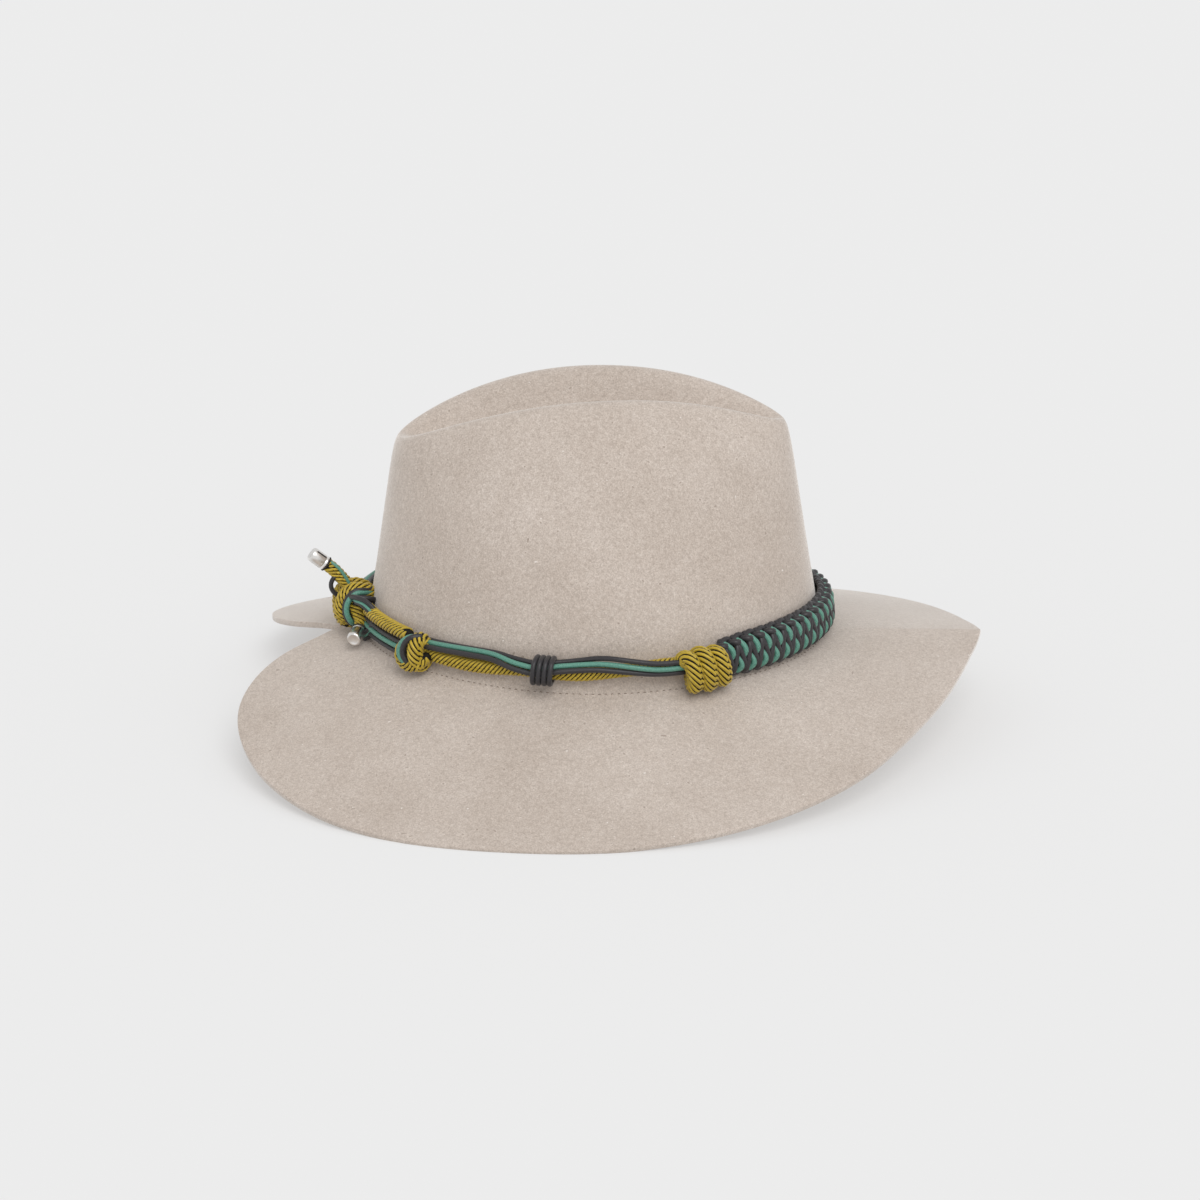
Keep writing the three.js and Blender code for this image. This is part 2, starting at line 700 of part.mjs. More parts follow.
// A few turns of charcoal cord that tie the bundle together. They lie one thin cord thick round
// all four cords, in a rounded section that dips between one turn and the next.
function binding() {
  const half = turnOf(bindingLength, bindingTurn) / 2;
  const along = (bindingTurn - smallKnotTurn) / (-wrappedKnotTurn - smallKnotTurn);
  const cords = places(RIGHT_RUN, along);
  const reach = thinDiameter / 2 + thinDiameter;
  const top = cords.upper[1] + reach;
  const bottom = cords.gold[1] - goldDiameter / 2 - thinDiameter + gap;
  const outer = cords.lower[0] + reach;
  const turns = evenTurns(bindingTurn - half, bindingTurn + half, bindingLength / bindingTurns / 2);
  const rounded = (share) => Math.sign(share) * Math.abs(share) ** bindingSquareness;
  const outline = (k) => {
    const dip = k % 2 === 0 ? bindingDip : 0;
    const points = [];
    for (let i = 0; i < bindingSides; i += 1) {
      const angle = (2 * Math.PI * i) / bindingSides;
      const out = (outer + gap) / 2 + rounded(Math.cos(angle)) * ((outer - gap) / 2 - dip);
      const up = (top + bottom) / 2 + rounded(Math.sin(angle)) * ((top - bottom) / 2 - dip);
      points.push([out, up]);
    }
    return points;
  };
  return solidOf(bandSolid(turns, outline));
}

const felt = new THREE.MeshStandardMaterial({ color: 0xc8bcb0, roughness: 0.95, metalness: 0 });
const gold = new THREE.MeshStandardMaterial({ color: 0xb59a2b, roughness: 0.6, metalness: 0 });
const charcoal = new THREE.MeshStandardMaterial({ color: 0x3b3a3d, roughness: 0.55, metalness: 0 });
const teal = new THREE.MeshStandardMaterial({ color: 0x64a38f, roughness: 0.55, metalness: 0 });
const silver = new THREE.MeshStandardMaterial({ color: 0xd9d7d4, roughness: 0.25, metalness: 1 });

const hat = new THREE.Group();

function add(name, shape, material) {
  const geometry = shape.isBufferGeometry ? shape : geometryFrom(shape);
  const mesh = new THREE.Mesh(geometry, material.clone());
  mesh.name = name;
  hat.add(mesh);
}

add("felt_hat", feltHat(), felt);

// Turns at which a run's cords start and end, inside the end turns of its knots.
const into = (length, turn) => turnOf((length - goldDiameter) / 2, turn);
const smallKnotReach = into(smallKnotLength, smallKnotTurn);
const wrappedKnotReach = into(wrappedKnotLength, wrappedKnotTurn);
const rearKnotReach = into(rearKnotSize, rearKnotTurn);
const RUNS = [
  {
    name: "right",
    run: RIGHT_RUN,
    from: smallKnotTurn + smallKnotReach,
    to: -wrappedKnotTurn - wrappedKnotReach,
  },
  {
    name: "left",
    run: LEFT_RUN,
    from: wrappedKnotTurn + wrappedKnotReach,
    to: fullTurn + rearKnotTurn - rearKnotReach,
  },
  {
    name: "rear",
    run: REAR_RUN,
    from: rearKnotTurn + rearKnotReach,
    to: smallKnotTurn - smallKnotReach,
  },
];
const CORDS = [
  { name: "gold_cord", which: "gold", diameter: goldDiameter, step: goldStep, material: gold },
  { name: "charcoal_cord_lower", which: "lower", diameter: thinDiameter, step: thinStep, material: charcoal },
  { name: "teal_cord", which: "teal", diameter: thinDiameter, step: thinStep, material: teal },
  { name: "charcoal_cord_upper", which: "upper", diameter: thinDiameter, step: thinStep, material: charcoal },
];
const knots = [wrappedKnot(-1, gap), wrappedKnot(1, gap), smallKnot(gap), rearKnot(gap)];
const cutBack = (solid) => biggest(knots.reduce((rest, knot) => rest.subtract(knot), solid));
let tie = binding();
for (const { name, run, from, to } of RUNS) {
  for (const { name: cordName, which, diameter, step, material } of CORDS) {
    const body = (grow) => runCord(run, which, from, to, diameter + 2 * grow, step * diameter);
    add(`${cordName}_${name}`, cutBack(body(0)), material);
    if (name === "right") tie = tie.subtract(body(gap));
  }
}
add("cord_binding", tie, charcoal);
add("cobra_braid", cutBack(braid()), charcoal);
add("wrapped_knot_right", wrappedKnot(-1, 0), gold);
add("wrapped_knot_left", wrappedKnot(1, 0), gold);
add("small_knot", smallKnot(0), gold);

// The rear knot is grooved where thin cords lie on it.
const LOOPS = [
  { name: "teal_turn", rows: TEAL_TURN, material: teal },
  { name: "charcoal_turn", rows: CHARCOAL_TURN, material: charcoal },
  { name: "tail_loop", rows: TAIL_LOOP, material: charcoal },
];
let rear = rearKnot(0);
for (const { name, rows, material } of LOOPS) {
  const path = rearPath(rows);
  const stepLength = 2 * thinDiameter;
  add(name, cord(path, thinDiameter, stepLength), material);
  rear = rear.subtract(solidOf(cord(lengthened(path, gap), thinDiameter + 2 * gap, stepLength)));
}
add("rear_knot", biggest(rear), gold);
add("metal_tip_up", tip(TAIL_UP), silver);
add("metal_tip_down", tip(TAIL_DOWN), silver);

// The origin lies under the middle of the felt's outline.
const outline = new THREE.Box3().setFromObject(hat.getObjectByName("felt_hat"));
for (const mesh of hat.children) mesh.position.x = -(outline.min.x + outline.max.x) / 2;

export default hat;
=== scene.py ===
"""A felt hat with a knotted cord band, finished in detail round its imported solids.

Sizes are in millimetres, in the frame of the crown: X 0 lies in the middle of the crown's base and
Z 0 at that base. Everything is moved to the row frame, in metres, where a mesh is made.
"""
import json
import math

import bpy
import numpy as np
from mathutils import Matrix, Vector

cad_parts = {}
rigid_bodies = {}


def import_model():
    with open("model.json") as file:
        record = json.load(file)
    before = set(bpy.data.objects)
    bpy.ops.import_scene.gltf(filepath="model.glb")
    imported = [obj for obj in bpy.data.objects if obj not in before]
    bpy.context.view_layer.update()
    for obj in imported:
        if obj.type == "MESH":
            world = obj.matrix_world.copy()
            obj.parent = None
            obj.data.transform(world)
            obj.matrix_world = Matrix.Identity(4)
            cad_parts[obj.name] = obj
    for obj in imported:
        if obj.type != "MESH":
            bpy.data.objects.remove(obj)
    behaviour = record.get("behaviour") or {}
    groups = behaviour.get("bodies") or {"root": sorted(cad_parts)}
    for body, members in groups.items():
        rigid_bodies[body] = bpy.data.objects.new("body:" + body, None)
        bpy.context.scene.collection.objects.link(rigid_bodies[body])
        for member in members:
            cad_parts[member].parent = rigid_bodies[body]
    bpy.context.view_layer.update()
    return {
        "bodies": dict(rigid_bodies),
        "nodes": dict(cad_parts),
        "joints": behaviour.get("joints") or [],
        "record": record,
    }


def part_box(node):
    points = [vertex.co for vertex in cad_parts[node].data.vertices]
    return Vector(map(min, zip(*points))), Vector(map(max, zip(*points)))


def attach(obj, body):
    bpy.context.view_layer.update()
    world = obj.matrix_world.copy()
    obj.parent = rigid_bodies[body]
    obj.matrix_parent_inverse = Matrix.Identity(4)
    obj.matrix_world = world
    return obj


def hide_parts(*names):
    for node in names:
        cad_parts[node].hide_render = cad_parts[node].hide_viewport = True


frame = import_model()

# Felt body, as in the solids
HEAD_LENGTH = 210.4
HEAD_WIDTH = 167.0
OVAL_POWER = 1.88
FELT_THICKNESS = 2.6
CROWN_HEIGHT = 118.0
CROWN_TOP_FRONT = 86.0
CROWN_TOP_BACK = 89.0
RIDGE_GAP = 60.0
TEARDROP = 0.27
CREASE_DEPTH = 25.0
CREASE_ENDS = 0.26
CREASE_FRONT = 60.0
CREASE_BACK = 68.0
PEAK_AT = 0.15
FRONT_FALL = 0.135
BACK_FALL = 0.215
RIDGE_ROUND = 2.1
BREAK_RADIUS = 4.0
BRIM_WIDTH = 75.0
BRIM_DROOP_SIDE = 0.455
BRIM_DROOP_BACK = 0.132
DROOP_POWER = 1.11
BRIM_CURL = 0.19

# Cord band, as in the solids, except that the right run lies tighter at the binding
GOLD = 6.5
THIN = 2.4
GAP = 0.3
BAND_HEIGHT = 9.6
BAND_LIFT = 2.4
BRAID_WIDTH = 19.0
BRAID_THICKNESS = 7.5
WRAPPED_KNOT_TURN = 55.0
WRAPPED_KNOT_LENGTH = 24.0
WRAPPED_KNOT_HEIGHT = 21.5
WRAPPED_KNOT_DEPTH = 17.5
WRAPPED_KNOT_UP = -1.0
SMALL_KNOT_TURN = -143.5
SMALL_KNOT_LENGTH = 18.0
SMALL_KNOT_DEPTH = 14.5
SMALL_KNOT_UP = -1.6
BINDING_TURN = -102.3
BINDING_LENGTH = 9.8
BINDING_TURNS = 4
REAR_KNOT_TURN = -176.6
REAR_KNOT_SIZE = 20.0
REAR_KNOT_DEPTH = 18.0
TIP_DIAMETER = 6.2
TIP_LENGTH = 8.5

# Camera: above the wearer's right side, nearly square to it
VIEW_ELEVATION = 20.0
VIEW_AZIMUTH = 2.0
VIEW_DISTANCE = 1625.0
VIEW_TARGET = (2.945, 0.0, 12.38)
PIXELS_PER_MM = 2.15
PHOTO_WIDTH = 1200
SENSOR_WIDTH = 36.0


def records(names, *rows):
    """Rows of numbers as a table whose columns have names."""
    return [dict(zip(names.split(), row)) for row in rows]


BRIM_EDGE = records(
    "turn width",
    (0, 0.992), (3, 0.972), (8, 0.942), (16, 0.936), (30, 0.975), (45, 1.061), (60, 1.109),
    (80, 1.147), (100, 1.195), (115, 1.25), (128, 1.261), (140, 1.198), (150, 1.085), (158, 0.95),
    (165, 0.767), (171, 0.553), (176, 0.313), (180, 0.178),
)
WALL = records(
    "up ends sides",
    (0, 0, 0), (0.18, 0.13, 0.05), (0.36, 0.3, 0.145), (0.54, 0.46, 0.285), (0.72, 0.62, 0.48),
    (0.86, 0.745, 0.675), (0.945, 0.84, 0.83), (0.985, 0.92, 0.925), (1, 1, 1),
)
CREASE = records(
    "inward down",
    (0.16, 0.06), (0.42, 0.4), (0.72, 0.81), (1, 1),
)
RIGHT_RUN = records(
    "along gold lift lower teal upper",
    (0, -0.45, 1.1, 55, 150, 180),
    (0.18, -0.45, 1.3, 68, 145, 190),
    (0.28, -0.3, 1.2, 60, 140, 185),
    (0.38, -0.1, 1.02, 16, 124, 155),
    (0.46, -0.08, 1.0, 2, 112, 150),
    (0.53, -0.14, 1.02, 28, 135, 158),
    (0.6, -0.14, 1.02, 40, 136, 152),
    (0.67, -0.04, 1.02, 36, 124, 130),
    (0.75, 0.1, 1.02, 14, 95, 100),
    (0.82, 0.15, 1.03, -6, 78, 100),
    (0.9, 0.25, 1.05, -32, 68, 95),
    (1, 0.2, 1.05, -34, 68, 95),
)
LEFT_RUN = records(
    "along gold lift lower teal upper",
    (0, 0.2, 1.05, -34, 68, 95),
    (0.12, 0.2, 1.05, -26, 68, 95),
    (0.2, 0.1, 1.02, 8, 92, 98),
    (0.32, -0.1, 1.02, 50, 135, 140),
    (0.5, -0.2, 1.02, 60, 145, 165),
    (1, -0.1, 1.02, 55, 140, 165),
)
REAR_RUN = records(
    "along gold lift lower teal upper",
    (0, 0.5, 1.02, -85, -75, -95),
    (1, 0.4, 1.02, -80, -80, -95),
)

MM = 0.001
SMALLEST = 1e-6
PATH_STEPS = 16  # between two given points of a path
HALF_RING = 200  # felt samples from the front to the back on one side
RING_CROWDING = 0.55  # more samples at the front and at the notch in the back
BRIM_ROWS = 12  # given rows across the brim
ROW_STEPS = 4  # fine rows between two given ones
RIDGE_ROWS = slice(84, 106)  # fine rows that are rounded off at the ridge
RIDGE_PASSES = 10


def blend(a, b, share):
    return a + (b - a) * share


def read(table, key, column, at):
    """Smooth curve through a table's rows, as in the solids."""
    last = len(table) - 1
    row = 0
    while row < last - 1 and at > table[row + 1][key]:
        row += 1

    def slope(i):
        a, b = table[max(i - 1, 0)], table[min(i + 1, last)]
        return (b[column] - a[column]) / (b[key] - a[key])

    start, end = table[row], table[row + 1]
    span = end[key] - start[key]
    t = min(max((at - start[key]) / span, 0), 1)
    rise = end[column] - start[column]
    s, e = slope(row) * span, slope(row + 1) * span
    return start[column] + t * s + t * t * (3 * rise - 2 * s - e) + t**3 * (s + e - 2 * rise)


# The felt's outside surface
def base_reach(angle):
    along = abs(math.cos(angle)) / (HEAD_LENGTH / 2)
    across = abs(math.sin(angle)) / (HEAD_WIDTH / 2)
    return (along**OVAL_POWER + across**OVAL_POWER) ** (-1 / OVAL_POWER)


def brim_reach(angle):
    turn = abs(math.degrees(math.atan2(math.sin(angle), math.cos(angle))))
    return BRIM_WIDTH * read(BRIM_EDGE, "turn", "width", turn)


def brim_drop(angle, out):
    side = abs(math.sin(angle)) ** DROOP_POWER
    back = max(-math.cos(angle), 0) * abs(math.cos(angle))
    slope = BRIM_DROOP_SIDE * side + BRIM_DROOP_BACK * back
    return slope * out * (1 + BRIM_CURL * (1 - out / BRIM_WIDTH))


def ridge_height(angle):
    along = math.cos(angle)
    ahead = along > PEAK_AT
    away = (along - PEAK_AT) / (1 - PEAK_AT) if ahead else (PEAK_AT - along) / (1 + PEAK_AT)
    return CROWN_HEIGHT * (1 - (FRONT_FALL if ahead else BACK_FALL) * away**RIDGE_ROUND)


def ridge_point(angle):
    middle = (CROWN_TOP_FRONT - CROWN_TOP_BACK) / 2
    half = (CROWN_TOP_FRONT + CROWN_TOP_BACK) / 2
    spread = (RIDGE_GAP / 2) * (1 - TEARDROP * math.cos(angle))
    return middle + half * math.cos(angle), spread * math.sin(angle)


def floor_point(angle):
    along = math.cos(angle)
    middle = (CREASE_FRONT - CREASE_BACK) / 2
    half = (CREASE_FRONT + CREASE_BACK) / 2
    return middle + half * along, ridge_height(angle) - CREASE_DEPTH * blend(1, CREASE_ENDS, along**2)


def wall_point(angle, up):
    reach = base_reach(angle)
    ridge = ridge_point(angle)
    lean = blend(read(WALL, "up", "sides", up), read(WALL, "up", "ends", up), math.cos(angle) ** 2)
    x = blend(reach * math.cos(angle), ridge[0], lean)
    y = blend(reach * math.sin(angle), ridge[1], lean)
    return np.array([x, y, up * ridge_height(angle)])


def crease_point(angle, inward, down):
    ridge = ridge_point(angle)
    floor = floor_point(angle)
    height = blend(ridge_height(angle), floor[1], down)
    return np.array([blend(ridge[0], floor[0], inward), blend(ridge[1], 0, inward), height])


def brim_point(angle, out):
    reach = base_reach(angle) + out
    return np.array([reach * math.cos(angle), reach * math.sin(angle), -brim_drop(angle, out)])


def break_point(angle, share):
    wall = wall_point(angle, BREAK_RADIUS / ridge_height(angle))
    corner = brim_point(angle, 0)
    brim = brim_point(angle, BREAK_RADIUS)
    return (1 - share) ** 2 * brim + 2 * share * (1 - share) * corner + share**2 * wall


def ring_angles():
    half = []
    for i in range(HALF_RING + 1):
        t = i / HALF_RING
        half.append(math.pi * (t - RING_CROWDING * math.sin(2 * math.pi * t) / (2 * math.pi)))
    return half + [-angle for angle in reversed(half[1:HALF_RING])]


def felt_line(angle):
    edge = brim_reach(angle)
    line = [brim_point(angle, blend(edge, BREAK_RADIUS, i / BRIM_ROWS)) for i in range(BRIM_ROWS)]
    line += [break_point(angle, share) for share in (0, 0.25, 0.5, 0.75, 1)]
    line += [wall_point(angle, row["up"]) for row in WALL[1:]]
    line += [crease_point(angle, row["inward"], row["down"]) for row in CREASE]
    return line


# Moves from the crown's frame to the row frame
FELT_LOW, FELT_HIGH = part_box("felt_hat")
SHIFT_X = FELT_HIGH.x / MM - (HEAD_LENGTH / 2 + brim_reach(0))
BASE_HEIGHT = FELT_HIGH.z / MM - CROWN_HEIGHT
TO_ROW = np.array([SHIFT_X, 0.0, BASE_HEIGHT])


# Camera
def direction_of(azimuth, elevation):
    """From the hat to a place round it. Azimuth 0 is the wearer's right, more is to the front."""
    a, e = math.radians(azimuth), math.radians(elevation)
    return Vector((math.sin(a) * math.cos(e), -math.cos(a) * math.cos(e), math.sin(e)))


def aimed(name, data, direction):
    """A camera or a lamp that looks at the hat from that direction."""
    thing = bpy.data.objects.new(name, data)
    thing.rotation_mode = "QUATERNION"
    thing.rotation_quaternion = (-direction).to_track_quat("-Z", "Y")
    bpy.context.scene.collection.objects.link(thing)
    return thing


def make_camera():
    direction = direction_of(VIEW_AZIMUTH, VIEW_ELEVATION)
    target = Vector((np.array(VIEW_TARGET) + TO_ROW) * MM)
    data = bpy.data.cameras.new("view")
    data.sensor_width = SENSOR_WIDTH
    data.lens = PIXELS_PER_MM * VIEW_DISTANCE * SENSOR_WIDTH / PHOTO_WIDTH
    data.clip_end = 100
    camera = aimed("view", data, direction)
    camera.location = target + direction * (VIEW_DISTANCE * MM)
    bpy.context.scene.camera = camera


make_camera()


# Meshes
class Shape:
    """Points, faces and strand coordinates of one piece, gathered before it becomes a mesh."""

    def __init__(self):
        self.points = []
        self.faces = []
        self.coordinates = []
        self.materials = []
        self.count = 0

    def grid(self, points, closed_rows, closed_columns, coordinates=None, material=0):
        """Adds a sheet of quads through a grid of points, rows by columns."""
        rows, columns = points.shape[:2]
        row_ids = np.arange(rows if closed_rows else rows - 1)
        column_ids = np.arange(columns if closed_columns else columns - 1)
        r, c = np.meshgrid(row_ids, column_ids, indexing="ij")
        r2, c2 = r + 1, c + 1
        corners = [(r, c), (r, c2), (r2, c2), (r2, c)]
        ids = [(i % rows) * columns + j % columns for i, j in corners]
        self.faces.append(np.stack([i.ravel() for i in ids], -1) + self.count)
        self.points.append(points.reshape(-1, 3))
        self.count += rows * columns
        if coordinates is None:
            coordinates = (np.arange(rows + 1.0), np.arange(columns + 1.0))
        u, v = coordinates
        pairs = [np.stack([u[i].ravel(), v[j].ravel()], -1) for i, j in corners]
        self.coordinates.append(np.stack(pairs, 1))
        self.materials.append(np.full(len(self.faces[-1]), material))

    def piece(self, name, materials, slot, replaces=()):
        """Makes the object, in the row frame, and has it ride on the hat."""
        points = (np.concatenate(self.points) + TO_ROW) * MM
        faces = np.concatenate(self.faces)
        mesh = bpy.data.meshes.new(name)
        mesh.from_pydata(points.tolist(), [], faces.tolist())
        layer = mesh.uv_layers.new(name="strand")
        layer.data.foreach_set("uv", np.concatenate(self.coordinates).ravel())
        for material in materials:
            mesh.materials.append(material)
        mesh.polygons.foreach_set("material_index", np.concatenate(self.materials).astype(np.int32))
        mesh.polygons.foreach_set("use_smooth", np.full(len(faces), True))
        mesh.validate()
        thing = bpy.data.objects.new(name, mesh)
        bpy.context.scene.collection.objects.link(thing)
        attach(thing, "root")
        if replaces:
            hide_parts(*replaces)


def unit(vectors):
    return vectors / np.linalg.norm(vectors, axis=-1, keepdims=True)


def spline(given, steps):
    """Fine points on a smooth curve through given ones, from the second of them to the last but one."""
    fine = []
    for i in range(1, len(given) - 2):
        p0, p1, p2, p3 = given[i - 1:i + 3]
        pairs = ((p0, p1), (p1, p2), (p2, p3))
        spans = [np.linalg.norm(b - a, axis=-1, keepdims=True) for a, b in pairs]
        d = [np.maximum(span, SMALLEST) ** 0.5 for span in spans]
        m1 = p2 - p1 + d[1] * ((p1 - p0) / d[0] - (p2 - p0) / (d[0] + d[1]))
        m2 = p2 - p1 + d[1] * ((p3 - p2) / d[2] - (p3 - p1) / (d[1] + d[2]))
        for t in np.arange(steps) / steps:
            h = (2 * t**3 - 3 * t**2 + 1, t**3 - 2 * t**2 + t, -2 * t**3 + 3 * t**2, t**3 - t**2)
            fine.append(h[0] * p1 + h[1] * m1 + h[2] * p2 + h[3] * m2)
    fine.append(given[-2])
    return np.array(fine)


def smooth_path(points, step, closed=False):
    """Even points along a smooth curve through a few given ones."""
    given = np.array(points, float)
    if closed:
        given = np.concatenate([given[-1:], given, given[:2]])
    else:
        given = np.concatenate([[2 * given[0] - given[1]], given, [2 * given[-1] - given[-2]]])
    return even_path(spline(given, PATH_STEPS), step, closed)


def even_path(points, step, closed=False):
    """Even points along a polyline with many points."""
    lengths = lengths_along(points)
    count = max(3, int(round(lengths[-1] / step)))
    at = np.linspace(0, lengths[-1], count + 1)
    even = np.stack([np.interp(at, lengths, points[:, k]) for k in range(3)], -1)
    return even[:-1] if closed else even


def lengths_along(path):
    return np.concatenate([[0], np.cumsum(np.linalg.norm(np.diff(path, axis=0), axis=1))])


def tangents_of(path, closed):
    if closed:
        return unit(np.roll(path, -1, axis=0) - np.roll(path, 1, axis=0))
    return unit(np.gradient(path, axis=0))


START_NORMAL = (0.3, 0.2, 1.0)


def carried_normals(path, closed):
    """Normals along a path that turn as little as possible."""
    tangents = tangents_of(path, closed)
    normal = np.array(START_NORMAL)
    normals = []
    for tangent in tangents:
        normal = normal - tangent * (normal @ tangent)
        normal = normal / np.linalg.norm(normal)
        normals.append(normal)
    normals = np.array(normals)
    if closed:
        end = normals[-1] - tangents[0] * (normals[-1] @ tangents[0])
        twist = math.atan2(end @ np.cross(tangents[0], normals[0]), end @ normals[0])
        for i, tangent in enumerate(tangents):
            angle = -twist * i / len(tangents)
            normals[i] = normals[i] * math.cos(angle) + np.cross(tangent, normals[i]) * math.sin(angle)
    return normals


# Rounded end of a tube, as (width, reach) in radii
TUBE_END = ((0.9, 0.45), (0.6, 0.8), (0.02, 1.0))


def add_tube(shape, path, radius, sides=8, closed=False, material=0, normals=None):
    """A tube along an even path. The ends of an open one are rounded off."""
    tangents = tangents_of(path, closed)
    if normals is None:
        normals = carried_normals(path, closed)
    else:
        normals = unit(normals - tangents * np.sum(normals * tangents, axis=-1, keepdims=True))
    across = np.cross(normals, tangents)
    angle = np.arange(sides) * 2 * math.pi / sides
    ring = across[:, None] * np.sin(angle)[:, None] + normals[:, None] * np.cos(angle)[:, None]
    points = path[:, None] + ring * radius
    along = lengths_along(path)
    if closed:
        along = np.append(along, along[-1] + np.linalg.norm(path[0] - path[-1]))
    else:
        first, last = ([path[end] + (ring[end] * width + sign * tangents[end] * reach) * radius
                        for width, reach in TUBE_END] for end, sign in ((0, -1), (-1, 1)))
        points = np.concatenate([first[::-1], points, last])
        reaches = radius * np.array([reach for _, reach in TUBE_END])
        along = np.concatenate([along[0] - reaches[::-1], along, along[-1] + reaches])
    shape.grid(points, closed, True, (along, np.linspace(0, 1, sides + 1)), material)


# Gold rope: a near-black core, painted shade between the strands, and slanted gold strands in
# columns along it. Each strand dives into the core at both ends, where two columns meet in a line
# of dark gaps.
STRAND_SPACING = 2.2  # along the rope
STRAND_COLUMNS = 3
STRAND_TRAVEL = 5.6  # along the rope, from one end of a strand to the other
STRAND_HALF_WIDTH = 0.68
STRAND_HALF_THICKNESS = 0.5
STRAND_SAMPLES = 9
STRAND_SIDES = 6
STRAND_OVERRUN = 0.06  # of a column's width, past both of its edges
STRAND_SEAT = 0.1  # of the half thickness, from a strand's middle to the core
ROPE_CORE_SIDES = 10
COORDINATE_STEP = 3.7  # between the coordinates of two strands, so that their grain differs
COORDINATE_LENGTH = 7.0
STRAND_DIVE = 0.17  # of the rope's radius
DIVE_POWER = 3.5  # a high one keeps the dive near the strand's ends
COLUMN_EDGE = -0.12  # where two columns meet, in radians above the outward side


def add_rope(shape, path, diameter, outward, closed=False, edge=COLUMN_EDGE):
    """A rope along an even path, with gold as the shape's first material and painted shade as its second."""
    scale = diameter / GOLD
    tangents = tangents_of(path, closed)
    outward = np.broadcast_to(np.asarray(outward, float), path.shape)
    normals = unit(outward - tangents * np.sum(outward * tangents, axis=-1, keepdims=True))
    upward = np.cross(normals, tangents)
    half_thickness = STRAND_HALF_THICKNESS * scale**0.5
    half_width = STRAND_HALF_WIDTH * scale**0.5
    reach = diameter / 2 - half_thickness
    # The rope's core is near-black: painted shade between its strands
    add_tube(shape, path, reach - STRAND_SEAT * half_thickness, ROPE_CORE_SIDES, closed, 1, normals)
    along = lengths_along(path)
    total = along[-1]
    if closed:
        total += np.linalg.norm(path[0] - path[-1])
        along = np.append(along, total)
        path, normals, upward = (np.concatenate([v, v[:1]]) for v in (path, normals, upward))
    count = max(1, int(round(total / STRAND_SPACING)))
    share = np.linspace(0, 1, STRAND_SAMPLES)
    width = 2 * math.pi / STRAND_COLUMNS
    dive = np.abs(2 * share - 1) ** DIVE_POWER
    turn = np.arange(STRAND_SIDES) * 2 * math.pi / STRAND_SIDES

    def at(values, where):
        return np.stack([np.interp(where, along, values[:, k]) for k in range(3)], -1)

    for k in range(count):
        for column in range(STRAND_COLUMNS):
            angle = edge + width * (column + (1 + 2 * STRAND_OVERRUN) * share - STRAND_OVERRUN)
            middle = total * (k + 0.5 + column / STRAND_COLUMNS) / count
            where = middle + STRAND_TRAVEL * scale * (share - 0.5)
            where = where % total if closed else np.clip(where, 0, total)
            away = at(normals, where) * np.cos(angle)[:, None] + at(upward, where) * np.sin(angle)[:, None]
            away = unit(away)
            line = at(path, where) + away * (reach - STRAND_DIVE * diameter / 2 * dive)[:, None]
            direction = unit(np.gradient(line, axis=0))
            across = unit(np.cross(away, direction))
            tube = (line[:, None] + away[:, None] * (np.cos(turn) * half_thickness)[:, None]
                    + across[:, None] * (np.sin(turn) * half_width)[:, None])
            start = COORDINATE_STEP * (k * STRAND_COLUMNS + column)
            coordinates = (start + COORDINATE_LENGTH * share, np.linspace(0, 1, STRAND_SIDES + 1))
            shape.grid(tube, False, True, coordinates, 0)


# Materials
def rgb(red, green, blue):
    """Linear colour of a display colour given from 0 to 255."""
    return tuple(((c / 255 + 0.055) / 1.055) ** 2.4 for c in (red, green, blue)) + (1.0,)


def new_material(name, roughness, specular, sheen=0.0, metallic=0.0):
    material = bpy.data.materials.new(name)
    material.use_nodes = True
    shader = material.node_tree.nodes["Principled BSDF"]
    shader.inputs["Roughness"].default_value = roughness
    shader.inputs["Specular IOR Level"].default_value = specular
    shader.inputs["Sheen Weight"].default_value = sheen
    shader.inputs["Sheen Roughness"].default_value = 0.5
    shader.inputs["Metallic"].default_value = metallic
    return material, material.node_tree, shader


def add_node(tree, kind, **values):
    node = tree.nodes.new(kind)
    for name, value in values.items():
        if hasattr(node, name):
            setattr(node, name, value)
        else:
            node.inputs[name.replace("_", " ")].default_value = value
    return node


def noise(tree, vector, scale, detail=3.0, rough=0.55):
    node = add_node(tree, "ShaderNodeTexNoise", Scale=scale, Detail=detail, Roughness=rough)
    tree.links.new(vector, node.inputs["Vector"])
    return node.outputs["Fac"]


def ramp(tree, value, stops):
    node = tree.nodes.new("ShaderNodeValToRGB")
    tree.links.new(value, node.inputs["Fac"])
    elements = node.color_ramp.elements
    while len(elements) < len(stops):
        elements.new(0.5)
    for element, (position, colour) in zip(elements, stops):
        element.position = position
        element.color = colour
    return node.outputs["Color"]


def mix(tree, share, a, b, mode="MIX"):
    node = tree.nodes.new("ShaderNodeMix")
    node.data_type = "RGBA"
    node.blend_type = mode
    for socket, value in ((node.inputs[0], share), (node.inputs[6], a), (node.inputs[7], b)):
        if isinstance(value, bpy.types.NodeSocket):
            tree.links.new(value, socket)
        else:
            socket.default_value = value
    return node.outputs[2]


def bump(tree, shader, height, strength, distance):
    node = add_node(tree, "ShaderNodeBump", Strength=strength, Distance=distance)
    tree.links.new(height, node.inputs["Height"])
    tree.links.new(node.outputs["Normal"], shader.inputs["Normal"])


